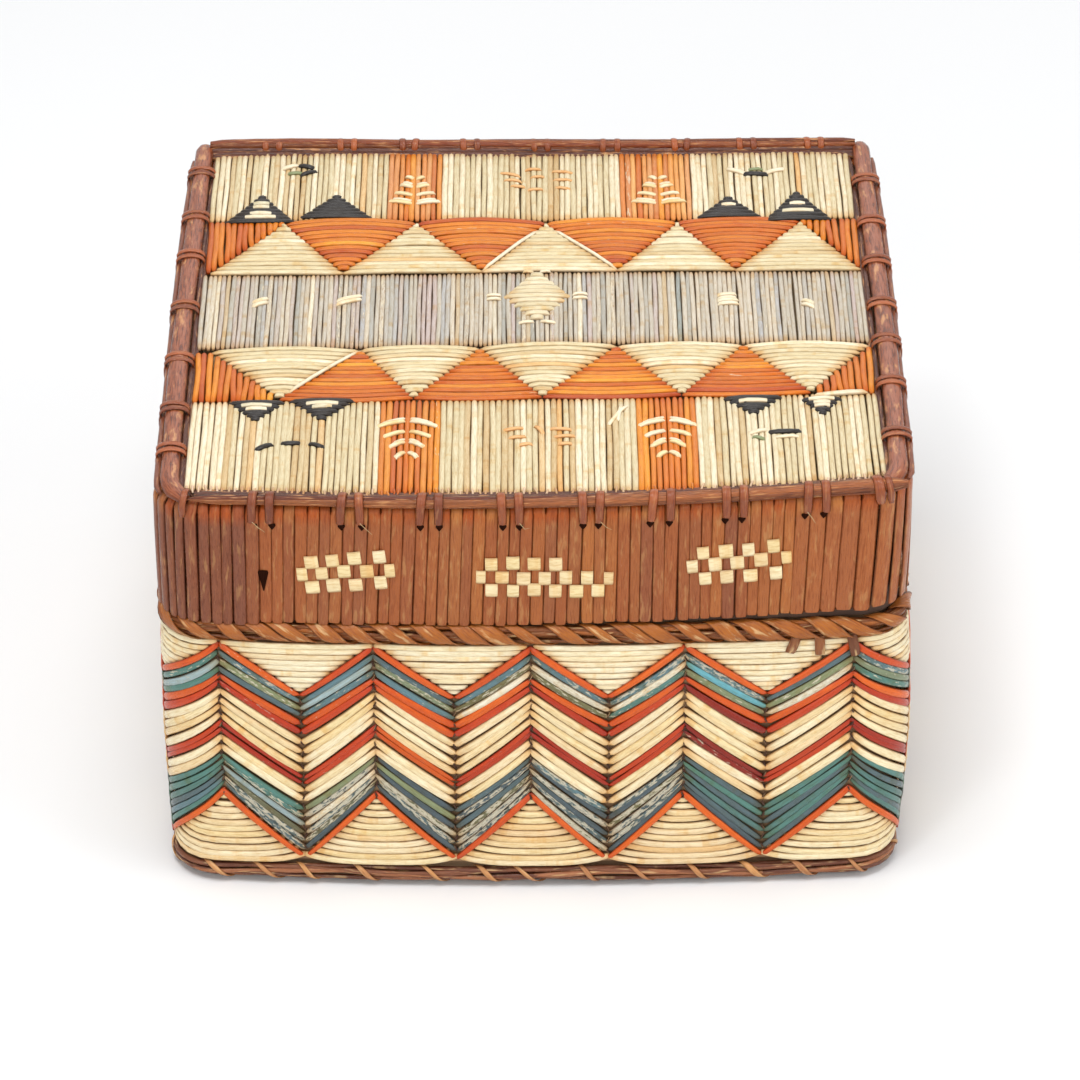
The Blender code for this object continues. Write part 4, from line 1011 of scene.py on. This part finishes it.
def makeRim():
    w, level, dark = rimWork, rimWork["level"], rimWork["darkTone"]
    rng.seed(w["seed"])
    for side in ("front", "right", "rear", "left"):
        rod, lashing, wide = Strips(warped), Strips(warped), side in ("left", "right")
        if side == "front":
            addRod(rod, side, -77.5, 83.5, 0.5, level - 0.2, (1.15, 1.65), (0.45, 0.6))
        elif side == "rear":
            addRod(rod, side, -80.5, 80.5, 0.35, level + 0.9, (1.4, 1.4), (0.9, 0.9))
            addSplitStrip(rod, side, -80, 80, -0.7, level - 0.2, 1.1, dark, 1.2)
        else:
            tone = mixTone(*w["stripTones"], 0.3)
            addSplitStrip(rod, side, -78.0, 82.2, -1.95, level + 0.1, 2.25, tone, 0.95, 0.4)
            addSplitStrip(rod, side, -74, 76, 0.75, level - 1.1, 0.7, mixTone(tone, dark, 0.35), 1.3)
        end = 81.5 if side == "rear" else 76
        for out, half in ((-4.75, 0.7), (-5.6, 0.5)) if wide else ((-1.7, 1.1), (-3.0, 0.8)):  # dark strips beside the quills
            addSplitStrip(rod, side, -end, end, out, level - 0.95, half, dark, 1.2)
        for place in w[side]:
            addLashing(lashing, side, place)
        if side == "front":
            addCornerStitches(lashing)
        node, lashed = "lid_rod_" + side, "lid_lashing_" + side
        sweep(rod, node + "_strip", "lid", rodWood, "lid_rod", node, 0.55 if wide else 0.9, 12, 0.16, 300)
        sweep(lashing, lashed + "_strands", "lid", lashingRoot, "lashing", lashed, 0.34, 8, 0.06, 500)


makeRim()

# Cream checks woven through the lid's front splints, and dark strips painted as the shadow inside the hole and slots in
# them
checkWork = {
    "seed": 61, "half": 1.5, "tall": 3.75, "out": 1.62,
    "rows": (  # height at the row's first check, rise per mm, and each check's x
        (91.3, 0.10, (-50.5, -45.7, -40.7, -35.0)), (88.0, 0.06, (-52.7, -48.2, -43.1, -37.9, -32.7)),
        (84.5, 0.09, (-50.4, -45.6, -40.5, -34.8)), (90.9, 0.0, (-9.6, -4.7, 0.1, 5.0)),
        (87.4, -0.03, (-12.0, -7.2, -2.3, 2.5, 7.3, 12.1, 17.0)), (83.9, -0.03, (-9.6, -4.7, 0.1, 4.9, 9.7, 14.6)),
        (92.3, 0.05, (38.4, 43.6, 48.7, 54.4)), (88.8, 0.05, (36.0, 41.2, 46.2, 51.6, 57.4)),
        (85.3, 0.04, (39.0, 43.9, 49.3, 55.1))),
    # height and half width down the hole and each slot
    "holeAt": -61.6, "hole": ((88.8, 1.15), (88.2, 1.2), (86.4, 0.8), (84.6, 0.4), (83.2, 0.15)),
    "slot": ((101.5, 0.9), (101.0, 0.85), (100.4, 0.45), (99.9, 0.12)),
}


def makeChecks():
    c, strips, holeShadows = checkWork, Strips(warped), Strips(warped)
    rng.seed(c["seed"])
    for level, rise, places in c["rows"]:
        for i, x in enumerate(places):
            s, z = frontRun(x), level + rise * (x - places[0]) + rng.gauss(0, 0.12)
            half = c["half"] * rng.uniform(0.88, 1.06)
            if len(places) in (5, 7) and i in (0, len(places) - 1):
                half *= 0.8  # the widest rows end in narrow checks
            tone = mixTone(mixTone("cream", "paleCream", rng.random() * 0.5), "amber", amount(0.16, 0.14))
            tall, face = c["tall"] / 2 * rng.uniform(0.92, 1.04), edgeOut(s)
            sections = [(wallPoint(s + half * u, c["out"] - 0.2 * abs(u) ** 6, z + rise * half * u), tall, face)
                        for u in (-1, -0.96, -0.8, -0.4, 0, 0.4, 0.8, 0.96, 1)]
            strips.add(sections, tone, 0, (0.93, 0.93))
    sweep(strips, "lid_front_checks", "lid", lidQuill, "cream", None, 0.14, 10, 0.05, 420)
    # Dark strips painted as the shadow inside the hole and the slots where the lashings enter
    for x, out, shape, taper, seed in (
            (c["holeAt"], 1.66, c["hole"], (0.9, 0.6), 0.3), *((x, 1.6, c["slot"], (0.8, 0.6), 0.4) for x in slotPlaces)):
        s = frontRun(x)
        holeShadows.add([onWall(s, out, z, half) for z, half in shape], srgb(44, 22, 14), 0, taper, seed=seed)
    sweep(holeShadows, "lid_front_slot_shadows", "lid", slotShadow, "lid_rod", flatness=0.12)


# Brown root stitches over the body's upper edge at the front's right: x, upper and lower z, and lean
stitchWork = {
    "seed": 71, "stitches": ((60.2, 70.2, 66.0, -1.4), (65.6, 70.4, 65.2, 0.2), (73.0, 70.4, 64.6, 1.0)),
    "tones": (srgb(150, 92, 52), srgb(110, 64, 40)), "thread": srgb(70, 40, 26), "perSeam": 15,
}


def makeBodyStitches():
    w, strips = stitchWork, Strips(bellied)
    rng.seed(w["seed"])
    for x, z0, z1, lean in w["stitches"]:
        s = frontRun(x)
        sections = [(wallPoint(s + lean * t, 1.5 + 0.5 * hump(t), z0 + (z1 - z0) * t), 1.35, edgeOut(s))
                    for t in (0, 0.25, 0.5, 0.75, 1)]
        strips.add(sections, mixTone(*w["tones"], rng.random()), 0, (1.0, 0.9), 0.6)
    for column, seam in enumerate(bodyEdges[:-1]):  # dark thread at the seams
        low, high = (9, 54) if column % 2 else (8, 66)
        for k in range(w["perSeam"]):
            z = low + (high - low) * (k + rng.uniform(0.3, 0.7)) / w["perSeam"]
            lean = 0.35 if k % 2 else -0.35
            sections = [(wallPoint(seam + lean * u, 1.15 - 0.25 * abs(u), z + 0.7 * u), 0.24, edgeOut(seam)) for u in (-1, 0, 1)]
            strips.add(sections, w["thread"], 0, (0.8, 0.8), 1.4)
    sweep(strips, "body_root_stitches", "base", coilRoot, "root", flatness=0.6, sides=6)


makeChecks()
makeBodyStitches()

# Floor, room, lamps and camera, in m
studio = {
    "floor": (0.865, 0.872, 0.88, 1), "roomStrength": 0.44,
    "lamps": {  # place, size and watts
        "keyAbove": ((-0.1, -0.2, 1.15), 0.6, 7.1), "glint": ((-0.2, -0.45, 1.05), 0.12, 1.2),
        "fillFront": ((-0.35, -1.15, 0.6), 0.8, 4.15), "fillRight": ((1.0, -0.4, 0.6), 0.8, 4.4),
        "rimRear": ((0.1, 0.95, 0.9), 0.7, 2.4),
    },
    # the camera's place in mm, its focal length in the photograph's pixels, and its angles in radians
    "at": (0.36709, -995.7536, 714.731), "focal": 4921.68, "photoWidth": 1080,
    "pitch": 0.593364, "yaw": -0.0011780, "roll": -0.0031905,
}


def makeStage():
    mesh = bpy.data.meshes.new("studioFloor")
    mesh.from_pydata([(-3, -3, 0), (3, -3, 0), (3, 3, 0), (-3, 3, 0)], [], [(0, 1, 2, 3)])
    floor = linked("studioFloor", mesh)
    s = Shader("paleFloor", **{"Base Color": studio["floor"], "Roughness": 0.9, "Specular IOR Level": 0.2})
    mesh.materials.append(s.material)
    world = bpy.context.scene.world = bpy.data.worlds.new("softRoom")
    world.use_nodes = True
    t = Tree(world.node_tree)
    camera, glossy, through = (
        t.node("ShaderNodeLightPath", output=f"Is {ray} Ray") for ray in ("Camera", "Glossy", "Transmission"))
    room = t.nodes["Background"]
    room.inputs["Color"].default_value, room.inputs["Strength"].default_value = (1, 1, 1, 1), studio["roomStrength"]
    white = t.node("ShaderNodeBackground", values={"Color": (1, 1, 1), "Strength": 1.0})
    pick = t.node("ShaderNodeMixShader", values={
        "Fac": camera.maths("MAXIMUM", glossy).maths("MAXIMUM", through), 1: Value(t, room.outputs[0]), 2: white})
    t.links.new(pick.socket, t.nodes["World Output"].inputs["Surface"])


def makeLamp(name, at, size, watts):
    lamp = bpy.data.lights.new(name, "AREA")
    lamp.shape, lamp.size, lamp.energy = "SQUARE", size, watts
    thing = linked(name, lamp)
    thing.location = at
    thing.rotation_euler = (Vector((0, 0, 0.05)) - Vector(at)).to_track_quat("-Z", "Y").to_euler()


def makeCamera():
    camera = bpy.data.cameras.new("photoCamera")
    camera.sensor_fit, camera.sensor_width = "HORIZONTAL", 36.0
    camera.lens = studio["focal"] / studio["photoWidth"] * camera.sensor_width
    camera.clip_start, camera.clip_end = 0.05, 20
    pitch, yaw, roll = (studio[key] for key in ("pitch", "yaw", "roll"))
    back = Vector((sin(yaw) * cos(pitch), -cos(yaw) * cos(pitch), sin(pitch)))
    right = Vector((cos(yaw), sin(yaw), 0))
    up = back.cross(right)
    level, plumb = right * cos(roll) + up * sin(roll), up * cos(roll) - right * sin(roll)
    thing = linked("photoCamera", camera)
    thing.matrix_world = Matrix.Translation(Vector(studio["at"]) * mm) @ Matrix((level, plumb, back)).transposed().to_4x4()
    bpy.context.scene.camera = thing


makeStage()
for name, values in studio["lamps"].items():
    makeLamp(name, *values)
makeCamera()
bpy.context.scene.view_settings.view_transform = "Standard"
print("stage, lamps and camera made")
